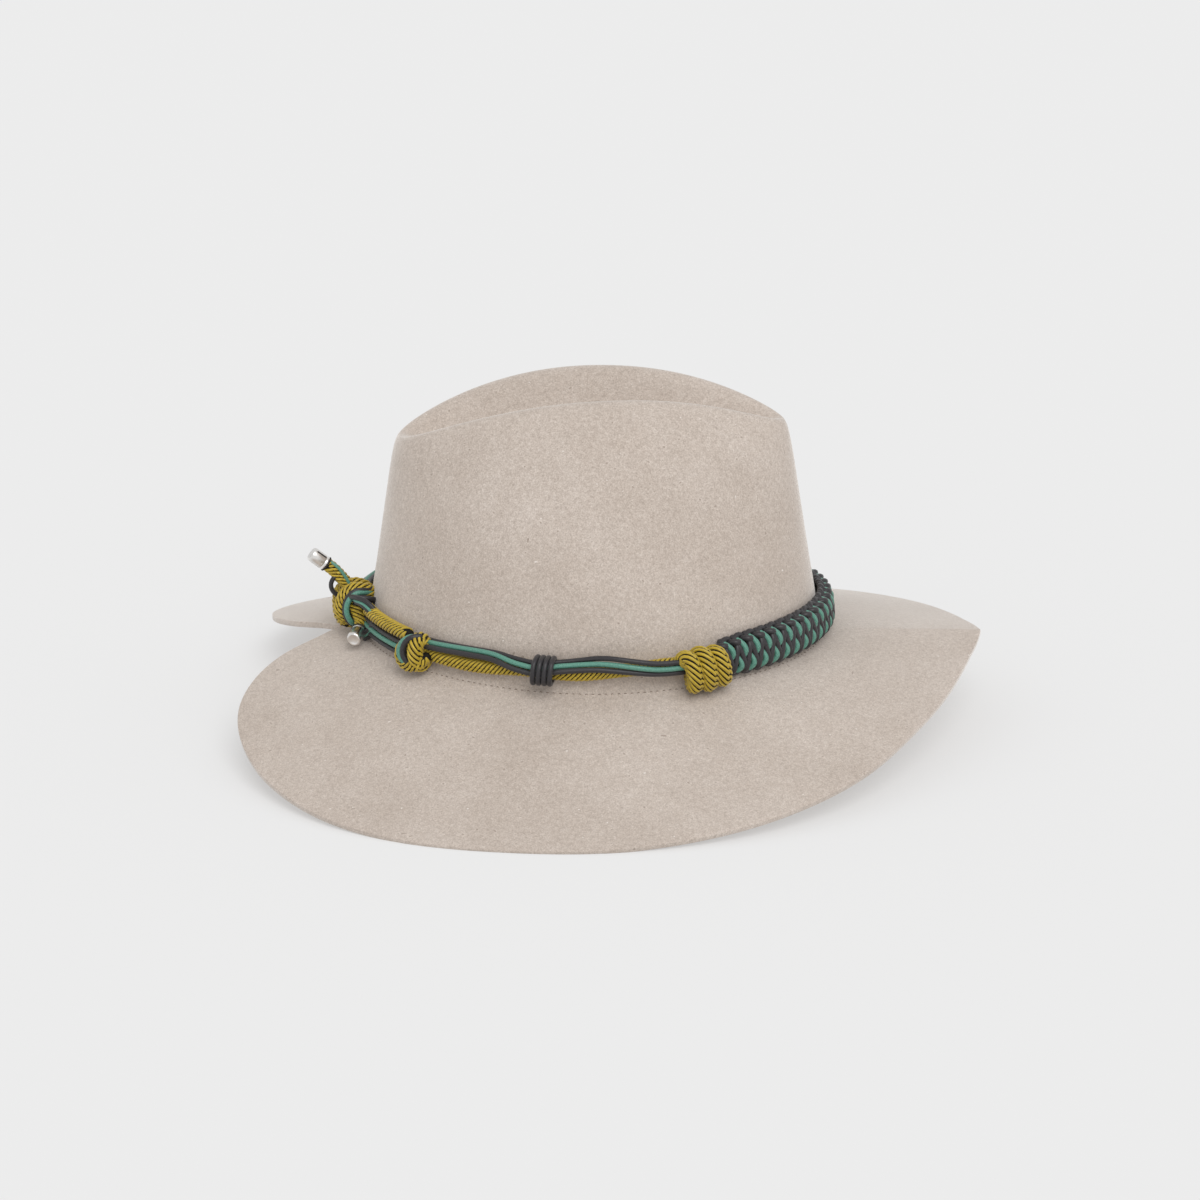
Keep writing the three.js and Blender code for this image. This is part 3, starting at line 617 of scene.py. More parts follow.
def felt_material():
    """Brushed wool felt: matted fibres, faint clouds, a soft bloom at grazing angles, stray specks."""
    material, tree, shader = new_material("felt", 0.95, 0.1, sheen=1.0)
    shader.inputs["Sheen Roughness"].default_value = 0.4
    shader.inputs["Sheen Tint"].default_value = rgb(254, 250, 246)
    place = tree.nodes.new("ShaderNodeTexCoord").outputs["Object"]
    fibres = noise(tree, place, 1500, 3, 0.75)
    mats = noise(tree, place, 520, 4, 0.7)
    clouds = noise(tree, place, 16, 3)
    patches = noise(tree, place, 75, 3, 0.6)
    colour = ramp(tree, mats, [
        (0.22, rgb(200, 188, 178)),
        (0.5, rgb(218, 206, 196)),
        (0.78, rgb(233, 223, 214)),
    ])
    layers = (
        (fibres, (206, 204, 202), (255, 255, 255)),
        (clouds, (240, 238, 236), (254, 254, 254)),
        (patches, (249, 248, 247), (254, 254, 254)),
    )
    for value, low, high in layers:
        layer = ramp(tree, value, [(0.3, rgb(*low)), (0.7, rgb(*high))])
        colour = mix(tree, 1.0, colour, layer, "MULTIPLY")
    for scale, level, speck in ((520, 0.83, rgb(140, 124, 112)), (560, 0.875, rgb(236, 230, 224))):
        dots = noise(tree, place, scale, 0)
        mask = ramp(tree, dots, [(level - 0.008, (0, 0, 0, 1)), (level + 0.008, (0.6, 0.6, 0.6, 1))])
        colour = mix(tree, mask, colour, speck)
    tree.links.new(colour, shader.inputs["Base Color"])
    heights = tree.nodes.new("ShaderNodeMath")
    heights.operation = "ADD"
    tree.links.new(fibres, heights.inputs[0])
    tree.links.new(mats, heights.inputs[1])
    bump(tree, shader, heights.outputs[0], 0.4, 0.0004)
    return material


def strand_noise(tree, stretch, turn, scale, detail, rough):
    """Threads in a piece's own coordinates, along its strands and round them."""
    strand = add_node(tree, "ShaderNodeUVMap", uv_map="strand")
    mapping = add_node(tree, "ShaderNodeMapping", Scale=stretch, Rotation=(0, 0, turn))
    tree.links.new(strand.outputs["UV"], mapping.inputs["Vector"])
    return noise(tree, mapping.outputs["Vector"], scale, detail, rough)


def waxed_material(name, dark, light):
    """Waxed cotton cord: fine threads that run round it at a slant."""
    material, tree, shader = new_material(name, 0.42, 0.5, sheen=0.1)
    threads = strand_noise(tree, (0.9, 9.0, 1.0), 0.12, 1.6, 4, 0.65)
    colour = ramp(tree, threads, [(0.3, dark), (0.7, light)])
    tree.links.new(colour, shader.inputs["Base Color"])
    bump(tree, shader, threads, 0.4, 0.0002)
    return material


def gold_material():
    """Gold yarn: filaments that run along each strand."""
    material, tree, shader = new_material("gold_yarn", 0.42, 0.5, sheen=0.15)
    filaments = strand_noise(tree, (0.25, 14.0, 1.0), 0.0, 1.0, 3, 0.6)
    colour = ramp(tree, filaments, [
        (0.3, rgb(136, 112, 18)),
        (0.55, rgb(188, 160, 34)),
        (0.8, rgb(228, 204, 78)),
    ])
    tree.links.new(colour, shader.inputs["Base Color"])
    bump(tree, shader, filaments, 0.5, 0.0002)
    return material


def plain_noise_material(name, roughness, specular, dark, light, scale, metallic=0.0):
    material, tree, shader = new_material(name, roughness, specular, metallic=metallic)
    place = tree.nodes.new("ShaderNodeTexCoord").outputs["Object"]
    grain = noise(tree, place, scale, 3)
    tree.links.new(ramp(tree, grain, [(0.3, dark), (0.7, light)]), shader.inputs["Base Color"])
    return material


FELT = felt_material()
CHARCOAL = waxed_material("charcoal_cord", rgb(24, 22, 25), rgb(52, 49, 52))
TEAL = waxed_material("teal_cord", rgb(58, 112, 98), rgb(106, 162, 143))
GOLD_YARN = gold_material()
# Near-black: painted shade in the gaps of ropes, knots and the braid
SHADE_CORE = plain_noise_material("shade_core", 0.8, 0.2, rgb(14, 13, 12), rgb(34, 30, 24), 900)
THREAD = plain_noise_material("thread", 0.8, 0.2, rgb(112, 100, 90), rgb(146, 133, 122), 900)
SILVER = plain_noise_material("silver", 0.32, 0.5, rgb(222, 220, 217), rgb(246, 244, 241), 260, metallic=1.0)
# Near-black: painted shade in the tips' slits and where the cord goes into them
SEAM_SHADE = plain_noise_material("seam_shade", 0.6, 0.3, rgb(30, 28, 27), rgb(52, 49, 46), 700)


# Felt
EDGE_BULGE = 0.35  # of the cut edge, past the outside's last row
EDGE_STEPS = 8


def refine(lines):
    """Fine rows through the given ones, rounded where the two sides of the crease meet."""
    count = len(lines)
    twins = lines[[(count - i) % count for i in range(count)]]
    given = np.concatenate([2 * lines[:, :1] - lines[:, 1:2], lines, twins[:, -2:-1]], axis=1)
    return spline(given.swapaxes(0, 1), ROW_STEPS).swapaxes(0, 1)


def make_felt():
    outside = refine(np.array([felt_line(angle) for angle in ring_angles()]))
    for _ in range(RIDGE_PASSES):
        ridge = outside[:, RIDGE_ROWS]
        before, after = (outside[:, RIDGE_ROWS.start + k:RIDGE_ROWS.stop + k] for k in (-1, 1))
        outside[:, RIDGE_ROWS] = (before + 2 * ridge + after) / 4
    across = np.roll(outside, -1, axis=0) - np.roll(outside, 1, axis=0)
    up = np.gradient(outside, axis=1)
    normals = np.cross(across, up)
    count = len(outside)
    twins = [(count - i) % count for i in range(count)]
    normals[:, -1] = normals[:, -1] + normals[twins, -1]
    normals = unit(normals)
    inside = outside - normals * FELT_THICKNESS
    edge_out = unit(outside[:, 0] - outside[:, 1])
    rim = []
    middle = (outside[:, 0] + inside[:, 0]) / 2
    half = FELT_THICKNESS / 2
    for k in range(1, EDGE_STEPS):
        angle = math.pi * k / EDGE_STEPS
        bulge = np.sin(angle) ** 0.5 * EDGE_BULGE
        rim.append(middle + normals[:, 0] * half * math.cos(angle) + edge_out * bulge)
    rim = np.stack(rim, 1)
    skin = np.concatenate([inside[:, ::-1], rim[:, ::-1], outside], axis=1)
    skin[..., 2] = np.maximum(skin[..., 2], -BASE_HEIGHT)  # nothing goes below the floor
    shape = Shape()
    shape.grid(skin, True, False)
    shape.piece("felt_body", [FELT], "felt", ["felt_hat"])


make_felt()


# Places beside the crown
def band_middle(angle):
    return BAND_HEIGHT + BAND_LIFT * math.cos(angle) ** 2


def outward_at(angle):
    step = 0.01
    before = wall_point(angle - step, band_middle(angle) / ridge_height(angle))
    after = wall_point(angle + step, band_middle(angle) / ridge_height(angle))
    return unit(np.array([after[1] - before[1], before[0] - after[0], 0.0]))


def beside(turn, out, up):
    """A place at some degrees from the front, out from the wall at the band's middle."""
    angle = math.radians(turn)
    height = band_middle(angle)
    point = wall_point(angle, height / ridge_height(angle)) + outward_at(angle) * out
    point[2] = height + up
    return point


def against(turn, out, up):
    """The same, but out from the felt at the place's own height."""
    angle = math.radians(turn)
    height = band_middle(angle) + up
    below = min(max(BREAK_RADIUS - height, 0), BREAK_RADIUS)
    fillet = BREAK_RADIUS - math.sqrt(BREAK_RADIUS**2 - below**2)
    point = wall_point(angle, max(height, BREAK_RADIUS) / ridge_height(angle))
    point = point + outward_at(angle) * (out + fillet)
    point[2] = height
    return point


def turn_of(length, turn):
    """The turn in degrees that a length takes along the band."""
    step = 0.5
    before = beside(turn - step, BRAID_THICKNESS / 2, 0)
    after = beside(turn + step, BRAID_THICKNESS / 2, 0)
    return length * 2 * step / np.linalg.norm(after - before)


class Frame:
    """A frame beside the crown: its x runs along the band, its y points out and its z up."""

    def __init__(self, turn, out, up):
        outward = outward_at(math.radians(turn))
        self.axes = np.array([[outward[1], -outward[0], 0], outward, [0, 0, 1]])
        self.middle = beside(turn, out, up)

    def place(self, points):
        return self.middle + np.asarray(points, float) @ self.axes

    def turned(self, vectors):
        return np.asarray(vectors, float) @ self.axes


# Cords that run beside the crown
SAMPLE_TURN = 0.7  # degrees between two points of a run
CORD_STEP = 0.9
CORD_SIDES = 10
REAR_EDGE = 0.8  # radians, where the rope's columns meet at the rear
REAR_SHORTER = 10  # steps of the gold rope that the rear knot's pair of cords hides


def step_to(place, distance, degrees):
    angle = math.radians(degrees)
    return place[0] + distance * math.cos(angle), place[1] + distance * math.sin(angle)


def places(run, along):
    """Places of the four cords at a share of a run, as (out, up)."""
    row = {name: read(run, "along", name, along) for name in ("gold", "lift", "lower", "teal", "upper")}
    gold = (GOLD / 2 + 2 * GAP, row["gold"] * GOLD)
    lower = step_to(gold, row["lift"] * ((GOLD + THIN) / 2 + GAP), row["lower"])
    teal = step_to(lower, THIN + GAP, row["teal"])
    upper = step_to(teal, THIN + GAP, row["upper"])
    return {"gold": gold, "lower": lower, "teal": teal, "upper": upper}


def run_path(run, which, start, end):
    """Points of a cord and the outward directions there."""
    count = int(abs(end - start) / SAMPLE_TURN)
    turns = np.linspace(start, end, count + 1)
    points = []
    for i, turn in enumerate(turns):
        out, up = places(run, i / count)[which]
        points.append(beside(turn, out, up))
    path = even_path(np.array(points), CORD_STEP)
    outward = unit(np.cross(tangents_of(path, False), (0, 0, 1)))
    return path, outward


def into(length, turn):
    """The turn from a knot's middle to where the cords go into it."""
    return turn_of((length - GOLD) / 2, turn)


INTO_SMALL = into(SMALL_KNOT_LENGTH, SMALL_KNOT_TURN)
INTO_WRAPPED = into(WRAPPED_KNOT_LENGTH, WRAPPED_KNOT_TURN)
INTO_REAR = into(REAR_KNOT_SIZE, REAR_KNOT_TURN)
RUNS = {
    "right": (RIGHT_RUN, SMALL_KNOT_TURN + INTO_SMALL, -WRAPPED_KNOT_TURN - INTO_WRAPPED),
    "left": (LEFT_RUN, WRAPPED_KNOT_TURN + INTO_WRAPPED, 360 + REAR_KNOT_TURN - INTO_REAR),
    "rear": (REAR_RUN, REAR_KNOT_TURN + INTO_REAR, SMALL_KNOT_TURN - INTO_SMALL),
}
THIN_CORDS = (
    ("charcoal_cord_lower", "lower", CHARCOAL, "charcoal_cord"),
    ("teal_cord", "teal", TEAL, "teal_cord"),
    ("charcoal_cord_upper", "upper", CHARCOAL, "charcoal_cord"),
)


def make_runs():
    for side, (run, start, end) in RUNS.items():
        path, outward = run_path(run, "gold", start, end)
        edge = COLUMN_EDGE
        if side == "rear":
            path, outward = path[REAR_SHORTER:], outward[REAR_SHORTER:]
            edge = REAR_EDGE
        rope = Shape()
        add_rope(rope, path, GOLD, outward, edge=edge)
        rope.piece(f"gold_rope_{side}", [GOLD_YARN, SHADE_CORE], "gold_cord", [f"gold_cord_{side}"])
        for name, which, material, slot in THIN_CORDS:
            path, _ = run_path(run, which, start, end)
            cord = Shape()
            add_tube(cord, path, THIN / 2, CORD_SIDES)
            cord.piece(f"{name}_{side}_waxed", [material], slot, [f"{name}_{side}"])


make_runs()


# Knots
RING_SAMPLES = 60


def oval_ring(height, depth, along, slant, swing):
    """A closed oval round the band, slanted about the outward axis and swung about the upright."""
    angle = np.arange(RING_SAMPLES) * 2 * math.pi / RING_SAMPLES
    x, y, z = np.zeros(RING_SAMPLES), depth / 2 * np.cos(angle), height / 2 * np.sin(angle)
    a = math.radians(slant)
    x, z = x * math.cos(a) + z * math.sin(a) + along, -x * math.sin(a) + z * math.cos(a)
    a = math.radians(swing)
    x, y = x * math.cos(a) - y * math.sin(a), x * math.sin(a) + y * math.cos(a)
    return np.stack([x, y, z], -1)


CORE_ROWS = 8
CORE_SIDES = 16
CORE_END = 0.02  # least share of the core's width, at its ends


def add_core(shape, frame, size):
    """A plain near-black body that fills a knot: painted shade in its gaps. Its size is its length, depth and
    height.
    """
    rows = []
    ring = np.arange(CORE_SIDES) * 2 * math.pi / CORE_SIDES
    for i in range(CORE_ROWS + 1):
        angle = math.pi * i / CORE_ROWS
        width = max(math.sin(angle), CORE_END)
        along = np.full(CORE_SIDES, -math.cos(angle))
        rows.append(np.stack([along, width * np.cos(ring), width * np.sin(ring)], -1))
    # Near-black body: painted shade inside the knot
    shape.grid(frame.place(np.array(rows) * size / 2), False, True, material=1)


WRAP_ROPE = 8.2  # the gold cord lies a little flattened in the wrapped knot
WRAP_PITCH = 7.0
WRAP_TURNS = 1.42  # to either side of the middle one
WRAP_SHIFT = 2.2  # towards the back
WRAP_SAMPLES = 170
WRAP_EDGE = 0.5  # radians, where the rope's columns meet on the turns
WRAP_CORE = (22.0, 11.5, 14.5)
WRAP_SIZES = records(
    "at size",
    (-1.5, 0.82), (-1, 0.98), (-0.3, 1.06), (0.4, 1.04), (1, 0.92), (1.5, 0.76),
)


def make_wrapped_knot(side, name):
    """One wrapped knot, with side -1 on the wearer's right and 1 on the left."""
    depth, height = WRAPPED_KNOT_DEPTH, WRAPPED_KNOT_HEIGHT
    frame = Frame(side * WRAPPED_KNOT_TURN, depth / 2 + 2 * GAP, WRAPPED_KNOT_UP)
    points = []
    for at in np.linspace(-WRAP_TURNS, WRAP_TURNS, WRAP_SAMPLES):
        size = read(WRAP_SIZES, "at", "size", at)
        angle = -2 * math.pi * at
        along = side * (WRAP_PITCH * at - WRAP_SHIFT)
        out = (depth - WRAP_ROPE) / 2 * size * math.cos(angle)
        up = (height - WRAP_ROPE) / 2 * size * math.sin(angle)
        points.append((along, out, up))
    path = even_path(np.array(points), CORD_STEP)
    outward = frame.turned(unit(path * (0, 1, 1)))
    knot = Shape()
    add_rope(knot, frame.place(path), WRAP_ROPE, outward, edge=WRAP_EDGE)
    add_core(knot, frame, WRAP_CORE)
    knot.piece(f"{name}_rope", [GOLD_YARN, SHADE_CORE], "gold_cord", [name])


make_wrapped_knot(-1, "wrapped_knot_right")
make_wrapped_knot(1, "wrapped_knot_left")

SMALL_ROPE = 7.8
SMALL_TURN = {"height": 19.0, "depth": 15.0, "along": -5.6, "slant": 6, "swing": 4}
SMALL_TURN_LEAN = 3.0  # from the turn's plane to where its columns face away from
SMALL_TURN_EDGE = 0.7  # radians
SMALL_LOOP_ROPE = 0.96  # of the gold cord
SMALL_CORE = (12.0, 9.0, 10.0)
# Paths at the small knot, in millimetres from its middle: along the band towards the hat's back,
# out, and up
SMALL_LOOP = (
    (0.5, 0.5, 3.0), (2.2, 2.4, 1.6), (2.9, 3.2, -1.2), (2.6, 3.4, -3.8), (0.4, 3.6, -5.8),
    (-3.4, 3.6, -6.2), (-7.0, 2.4, -4.6), (-9.0, -0.5, -2.0),
)
SMALL_TEAL = (
    (-6.0, 0.6, 7.4), (-3.2, 3.4, 7.4), (-0.6, 5.2, 5.4), (1.4, 5.9, 1.6), (1.2, 5.9, -1.6),
    (-0.4, 5.4, -4.0), (-3.5, 2.5, -6.4),
)
SMALL_DARK = (
    (-6.5, 0.6, 7.8), (-4.4, 3.4, 7.6), (-2.2, 5.0, 5.8), (-0.6, 5.6, 1.8), (-0.8, 5.6, -1.4),
    (-2.2, 5.0, -3.8), (-4.5, 2.5, -6.2),
)
SMALL_WRAPS = (
    ("small_knot_teal_wrap", SMALL_TEAL, THIN / 2 + 0.15, TEAL, "teal_cord"),
    ("small_knot_charcoal_wrap", SMALL_DARK, THIN / 2 + 0.2, CHARCOAL, "charcoal_cord"),
)


def make_small_knot():
    frame = Frame(SMALL_KNOT_TURN, SMALL_KNOT_DEPTH / 2 + 2 * GAP, SMALL_KNOT_UP)
    knot = Shape()
    turn = SMALL_TURN
    height, depth = turn["height"] - SMALL_ROPE, turn["depth"] - SMALL_ROPE
    ring = oval_ring(height, depth, turn["along"], turn["slant"], turn["swing"])
    path = smooth_path(ring, CORD_STEP, True)[::-1]
    outward = frame.turned(unit(path - (turn["along"] + SMALL_TURN_LEAN, 0, 0)))
    add_rope(knot, frame.place(path), SMALL_ROPE, outward, True, SMALL_TURN_EDGE)
    loop = smooth_path(SMALL_LOOP, CORD_STEP)
    add_rope(knot, frame.place(loop), GOLD * SMALL_LOOP_ROPE, frame.turned((-0.3, 1, 0)))
    add_core(knot, frame, SMALL_CORE)
    knot.piece("small_knot_rope", [GOLD_YARN, SHADE_CORE], "gold_cord", ["small_knot"])
    for name, rows, radius, material, slot in SMALL_WRAPS:
        wrap = Shape()
        add_tube(wrap, frame.place(smooth_path(rows, CORD_STEP)), radius, CORD_SIDES)
        wrap.piece(name, [material], slot)


make_small_knot()

# Paths at the rear knot, as shares of its size from its middle: along the band towards the hat's
# left, out, and up
REAR_RING = (
    (-0.28, -0.43, 0.38), (-0.34, -0.2, 0.47), (-0.36, 0.02, 0.43), (-0.38, 0.17, 0.27), (-0.4, 0.23, 0.05),
    (-0.38, 0.18, -0.16), (-0.3, 0.04, -0.32), (-0.18, -0.18, -0.38), (-0.04, -0.42, -0.24),
    (0.0, -0.54, 0.08), (-0.12, -0.53, 0.28),
)
REAR_FAR_RING = (
    (0.22, -0.36, 0.32), (0.26, -0.08, 0.38), (0.28, 0.12, 0.24), (0.3, 0.18, 0.0), (0.26, 0.08, -0.26),
    (0.2, -0.14, -0.36), (0.14, -0.4, -0.2), (0.12, -0.5, 0.12),
)
REAR_CROSSING = (
    (-0.3, 0.1, -0.34), (-0.05, 0.22, -0.3), (0.16, 0.26, 0.0), (0.16, 0.2, 0.28), (-0.02, 0.06, 0.38),
    (-0.2, -0.1, 0.34),
)
TAIL_UP = ((0, -0.12, 0.24), (0, 0.03, 0.44), (0, 0.23, 0.69), (0, 0.38, 0.86), (0, 0.53, 0.98))
TAIL_DOWN = (
    (-0.1, 0.0, 0.2), (-0.42, -0.06, 0.17), (-0.6, -0.17, -0.02), (-0.7, -0.23, -0.2), (-0.8, -0.2, -0.345),
    (-0.875, -0.174, -0.359),
)
TEAL_TURN = (
    (-0.3, -0.5, 0.38), (-0.46, -0.33, 0.42), (-0.56, -0.16, 0.44), (-0.62, 0.0, 0.34), (-0.66, 0.09, 0.17),
    (-0.66, 0.09, -0.03), (-0.62, 0.01, -0.22), (-0.5, -0.1, -0.34),
)
DARK_TURN = (
    (-0.3, -0.5, 0.43), (-0.46, -0.3, 0.47), (-0.52, -0.12, 0.48), (-0.56, 0.04, 0.37), (-0.58, 0.13, 0.18),
    (-0.58, 0.135, -0.04), (-0.55, 0.05, -0.25), (-0.46, -0.07, -0.38),
)
PAIR = (
    (-0.5, -0.02, 0.3), (-0.8, -0.12, 0.37), (-1.02, -0.29, 0.36), (-1.18, -0.46, 0.24), (-1.24, -0.56, 0.08),
    (-1.18, -0.54, -0.13), (-1.04, -0.41, -0.36), (-0.84, -0.26, -0.54),
)
OVER_TURN = (
    (-0.5, -0.02, 0.2), (-0.62, -0.1, 0.27), (-0.66, -0.24, 0.3), (-0.62, -0.44, 0.26), (-0.48, -0.58, 0.18),
)
TAIL_LOOP = (
    (-0.02, 0.2, 0.72), (-0.08, 0.36, 0.66), (-0.1, 0.43, 0.54), (-0.1, 0.42, 0.4), (-0.1, 0.34, 0.28),
    (-0.08, 0.2, 0.2),
)
TAIL_TEAL = (
    (-0.12, -0.02, 0.42), (-0.12, 0.04, 0.58), (-0.12, 0.18, 0.82), (-0.1, 0.32, 0.98), (-0.06, 0.42, 1.04),
)
PAIR_SPREAD = 1.2  # from the middle of a pair of cords to either one
FINE_CORD = 0.75  # radius of the fine teal strands
FINE_PLACE = (-0.5, 0.75)  # of the fine strand on the pair: sideways, and to the hat's right
RING_ROPE = 0.97  # of the gold cord
RING_LEAN = 0.6  # of the rings' columns, away from their middles
REAR_CORE = (11.0, 10.0, 11.0)


def make_rear_knot():
    size = REAR_KNOT_SIZE
    frame = Frame(REAR_KNOT_TURN, REAR_KNOT_DEPTH / 2 + 2 * GAP, 0)

    def rear_path(rows, sideways=0.0, rightward=0.0):
        path = smooth_path(np.array(rows) * size, CORD_STEP)
        side = unit(np.cross(tangents_of(path, False), (1, 0, 0)))
        return frame.place(path + side * sideways - np.array((rightward, 0, 0)))

    knot = Shape()
    for rows in (REAR_RING, REAR_FAR_RING):
        ring = smooth_path(np.array(rows) * size, CORD_STEP, True)
        outward = frame.turned(unit(ring - ring.mean(0)) * RING_LEAN + (-1, 0, 0))
        add_rope(knot, frame.place(ring), GOLD * RING_ROPE, outward, True)
    for rows in (REAR_CROSSING, TAIL_UP, TAIL_DOWN):
        add_rope(knot, rear_path(rows), GOLD, frame.turned((-1.0, 0.2, 0.3)))
    add_core(knot, frame, REAR_CORE)
    knot.piece("rear_knot_rope", [GOLD_YARN, SHADE_CORE], "gold_cord", ["rear_knot"])

    def loops(node, material, slot, tubes):
        piece = Shape()
        for rows, radius, *shift in tubes:
            add_tube(piece, rear_path(rows, *shift), radius, CORD_SIDES)
        piece.piece(f"{node}_waxed", [material], slot, [node])

    thin = THIN / 2
    loops("teal_turn", TEAL, "teal_cord", (
        (TEAL_TURN, thin + 0.1),
        (TAIL_TEAL, FINE_CORD),
        (PAIR, FINE_CORD, *FINE_PLACE),
    ))
    loops("charcoal_turn", CHARCOAL, "charcoal_cord", (
        (PAIR, thin, PAIR_SPREAD),
        (PAIR, thin, -PAIR_SPREAD),
        (OVER_TURN, thin, PAIR_SPREAD),
        (OVER_TURN, thin, -PAIR_SPREAD),
        (DARK_TURN, thin),
    ))
    loops("tail_loop", CHARCOAL, "charcoal_cord", ((TAIL_LOOP, thin - 0.1),))
    for name, rows in (("metal_tip_up", TAIL_UP), ("metal_tip_down", TAIL_DOWN)):
        last = np.array(rows[-1])
        make_tip(name, frame.place(last * size), frame.turned(last - rows[-2]))


# Metal tips: profile as (share of the length, share of the radius)
TIP_PROFILE = (
    (-0.02, 0.0), (-0.02, 0.9), (0.0, 0.97), (0.03, 1.0), (0.12, 1.0), (0.14, 0.95), (0.17, 0.95),
    (0.19, 1.0), (0.8, 1.0), (0.9, 0.975), (0.96, 0.92), (0.995, 0.82), (1.0, 0.72), (0.985, 0.66),
    (0.985, 0.0),
)
TIP_SIDES = 40
TIP_MIDDLE = 0.01  # radius of the closed ends
SLIT_RADIUS = 0.35  # of the dark line along a tip, painted shade in its slit
SLIT_SPAN = (0.25, 0.78)  # of the length
SLIT_PLACE = (0.86, -0.5)  # of the radius: up and sideways
SLIT_SAMPLES = 12
# A dark ring where the cord goes into a tip: painted shade at the joint
COLLAR_RADIUS = 0.42
COLLAR_BACK = 0.3  # from the tip's start, over the cord
TIP_FULLNESS = 1.1  # of its solid's diameter


def make_tip(name, start, direction):
    direction = unit(direction)
    sideways = unit(np.cross(direction, (0, 0, 1)))
    upright = np.cross(sideways, direction)
    start = start + direction * GAP
    angle = np.arange(TIP_SIDES) * 2 * math.pi / TIP_SIDES
    ring = sideways * np.cos(angle)[:, None] + upright * np.sin(angle)[:, None]
    radius = TIP_FULLNESS * TIP_DIAMETER / 2
    rows = []
    for along, share in TIP_PROFILE:
        rows.append(start + direction * TIP_LENGTH * along + ring * max(share * radius, TIP_MIDDLE))
    cap = Shape()
    cap.grid(np.array(rows), False, True)
    beside_axis = (upright * SLIT_PLACE[0] + sideways * SLIT_PLACE[1]) * radius
    along = np.linspace(*SLIT_SPAN, SLIT_SAMPLES)[:, None]
    slit = start + direction * TIP_LENGTH * along + beside_axis
    # Dark slit and collar: painted shade
    add_tube(cap, slit, SLIT_RADIUS, material=1)
    collar = [start - direction * COLLAR_BACK + r * (radius - 0.1) for r in ring]
    add_tube(cap, np.array(collar), COLLAR_RADIUS, closed=True, material=1)
    cap.piece(f"{name}_polished", [SILVER, SEAM_SHADE], "metal_tip", [name])


make_rear_knot()


# Binding of charcoal cord round the bundle
BINDING_SAMPLES = 48
BINDING_POWER = 0.72  # 1 is an oval turn, less is a squarer one
BINDING_LEAN = 0.5
BINDING_TUCK = 0.2


def make_binding():
    half = turn_of(BINDING_LENGTH, BINDING_TURN) / 2
    along = (BINDING_TURN - SMALL_KNOT_TURN) / (-WRAPPED_KNOT_TURN - SMALL_KNOT_TURN)
    cords = places(RIGHT_RUN, along)
    top = cords["upper"][1] + THIN
    bottom = cords["gold"][1] - GOLD / 2 - THIN / 2 + GAP
    outer = cords["lower"][0] + THIN
    tie = Shape()
    for k in range(BINDING_TURNS):
        turn = BINDING_TURN + half * (2 * (k + 0.5) / BINDING_TURNS - 1)
        ring = []
        for angle in np.arange(BINDING_SAMPLES) * 2 * math.pi / BINDING_SAMPLES:
            c, s = (math.copysign(abs(v) ** BINDING_POWER, v) for v in (math.cos(angle), math.sin(angle)))
            lean = turn_of(BINDING_LEAN, turn) * s
            out = outer / 2 + GAP + c * (outer / 2 - BINDING_TUCK)
            up = (top + bottom) / 2 + s * (top - bottom) / 2
            ring.append(against(turn + lean, out, up))
        add_tube(tie, smooth_path(ring, CORD_STEP, True), THIN / 2, CORD_SIDES, True)
    tie.piece("binding_turns", [CHARCOAL], "charcoal_cord", ["cord_binding"])


make_binding()

# Braid across the front. Paths are given for one pitch of it, as (along, up, out): shares of the
# pitch, of half its width and of its thickness.
BRAID_PITCH = 6.7
BRAID_CORD = 1.38  # radius
BRAID_TEAL_CORD = 1.34
BRAID_NECK = 0.72  # of its width, where it goes into a wrapped knot
BRAID_NECK_LENGTH = 20.0
BRAID_NECK_POWER = 0.7
BRAID_TURNS = 400  # samples along it
BRAID_RISE = (
    (0.02, -0.98, 0.3), (0.06, -0.8, 0.75), (0.12, -0.45, 0.86), (0.24, 0.1, 0.86), (0.32, 0.5, 0.84),
    (0.36, 0.78, 0.6), (0.36, 0.95, 0.3),
)
BRAID_FALL = (
    (0.3, 0.95, 0.3), (0.4, 0.72, 0.68), (0.5, 0.45, 0.84), (0.7, 0.0, 0.88), (0.88, -0.4, 0.86),
    (0.95, -0.72, 0.7), (0.98, -0.96, 0.3),
)
BRAID_TEAL_UPPER = (
    (0.44, 0.86, 0.4), (0.62, 0.76, 0.74), (0.86, 0.5, 0.9), (0.95, 0.18, 0.88), (0.86, -0.1, 0.66),
    (0.74, -0.24, 0.35),
)
BRAID_TEAL_LOWER = (
    (0.2, 0.1, 0.4), (0.42, -0.04, 0.72), (0.62, -0.34, 0.86), (0.64, -0.62, 0.82), (0.48, -0.84, 0.6),
    (0.34, -0.94, 0.35),
)
BRAID_TOP_LUMP = (
    (0.0, 0.8, 0.5), (0.14, 0.86, 0.7), (0.34, 0.82, 0.82), (0.52, 0.78, 0.72), (0.6, 0.74, 0.5),
)
BRAID_TOP_ARCH = (
    (0.3, 0.78, 0.5), (0.42, 0.93, 0.42), (0.7, 1.0, 0.32), (0.98, 0.93, 0.3), (1.1, 0.78, 0.3),
)
BRAID_LOW_LOOP = (
    (-0.15, -0.82, 0.42), (0.05, -0.96, 0.52), (0.35, -1.0, 0.5), (0.65, -0.96, 0.44), (0.85, -0.84, 0.34),
)
BRAID_STEP = 0.8
BRAID_LUMP = 1.08  # of the cords' radius, where they cross on the top edge
BRAID_SAMPLES = 160
# Section of the near-black filling, painted shade in the braid's gaps, as (out, up)
FILLING = ((0, -0.4), (0.4, -0.8), (0.62, -0.6), (0.66, 0), (0.62, 0.6), (0.4, 0.8), (0, 0.4))
CORE_CORD = 3.0  # the gold cords that show in the braid's gaps
CORE_CORD_OUT = 0.62
CORE_CORD_UP = 0.3


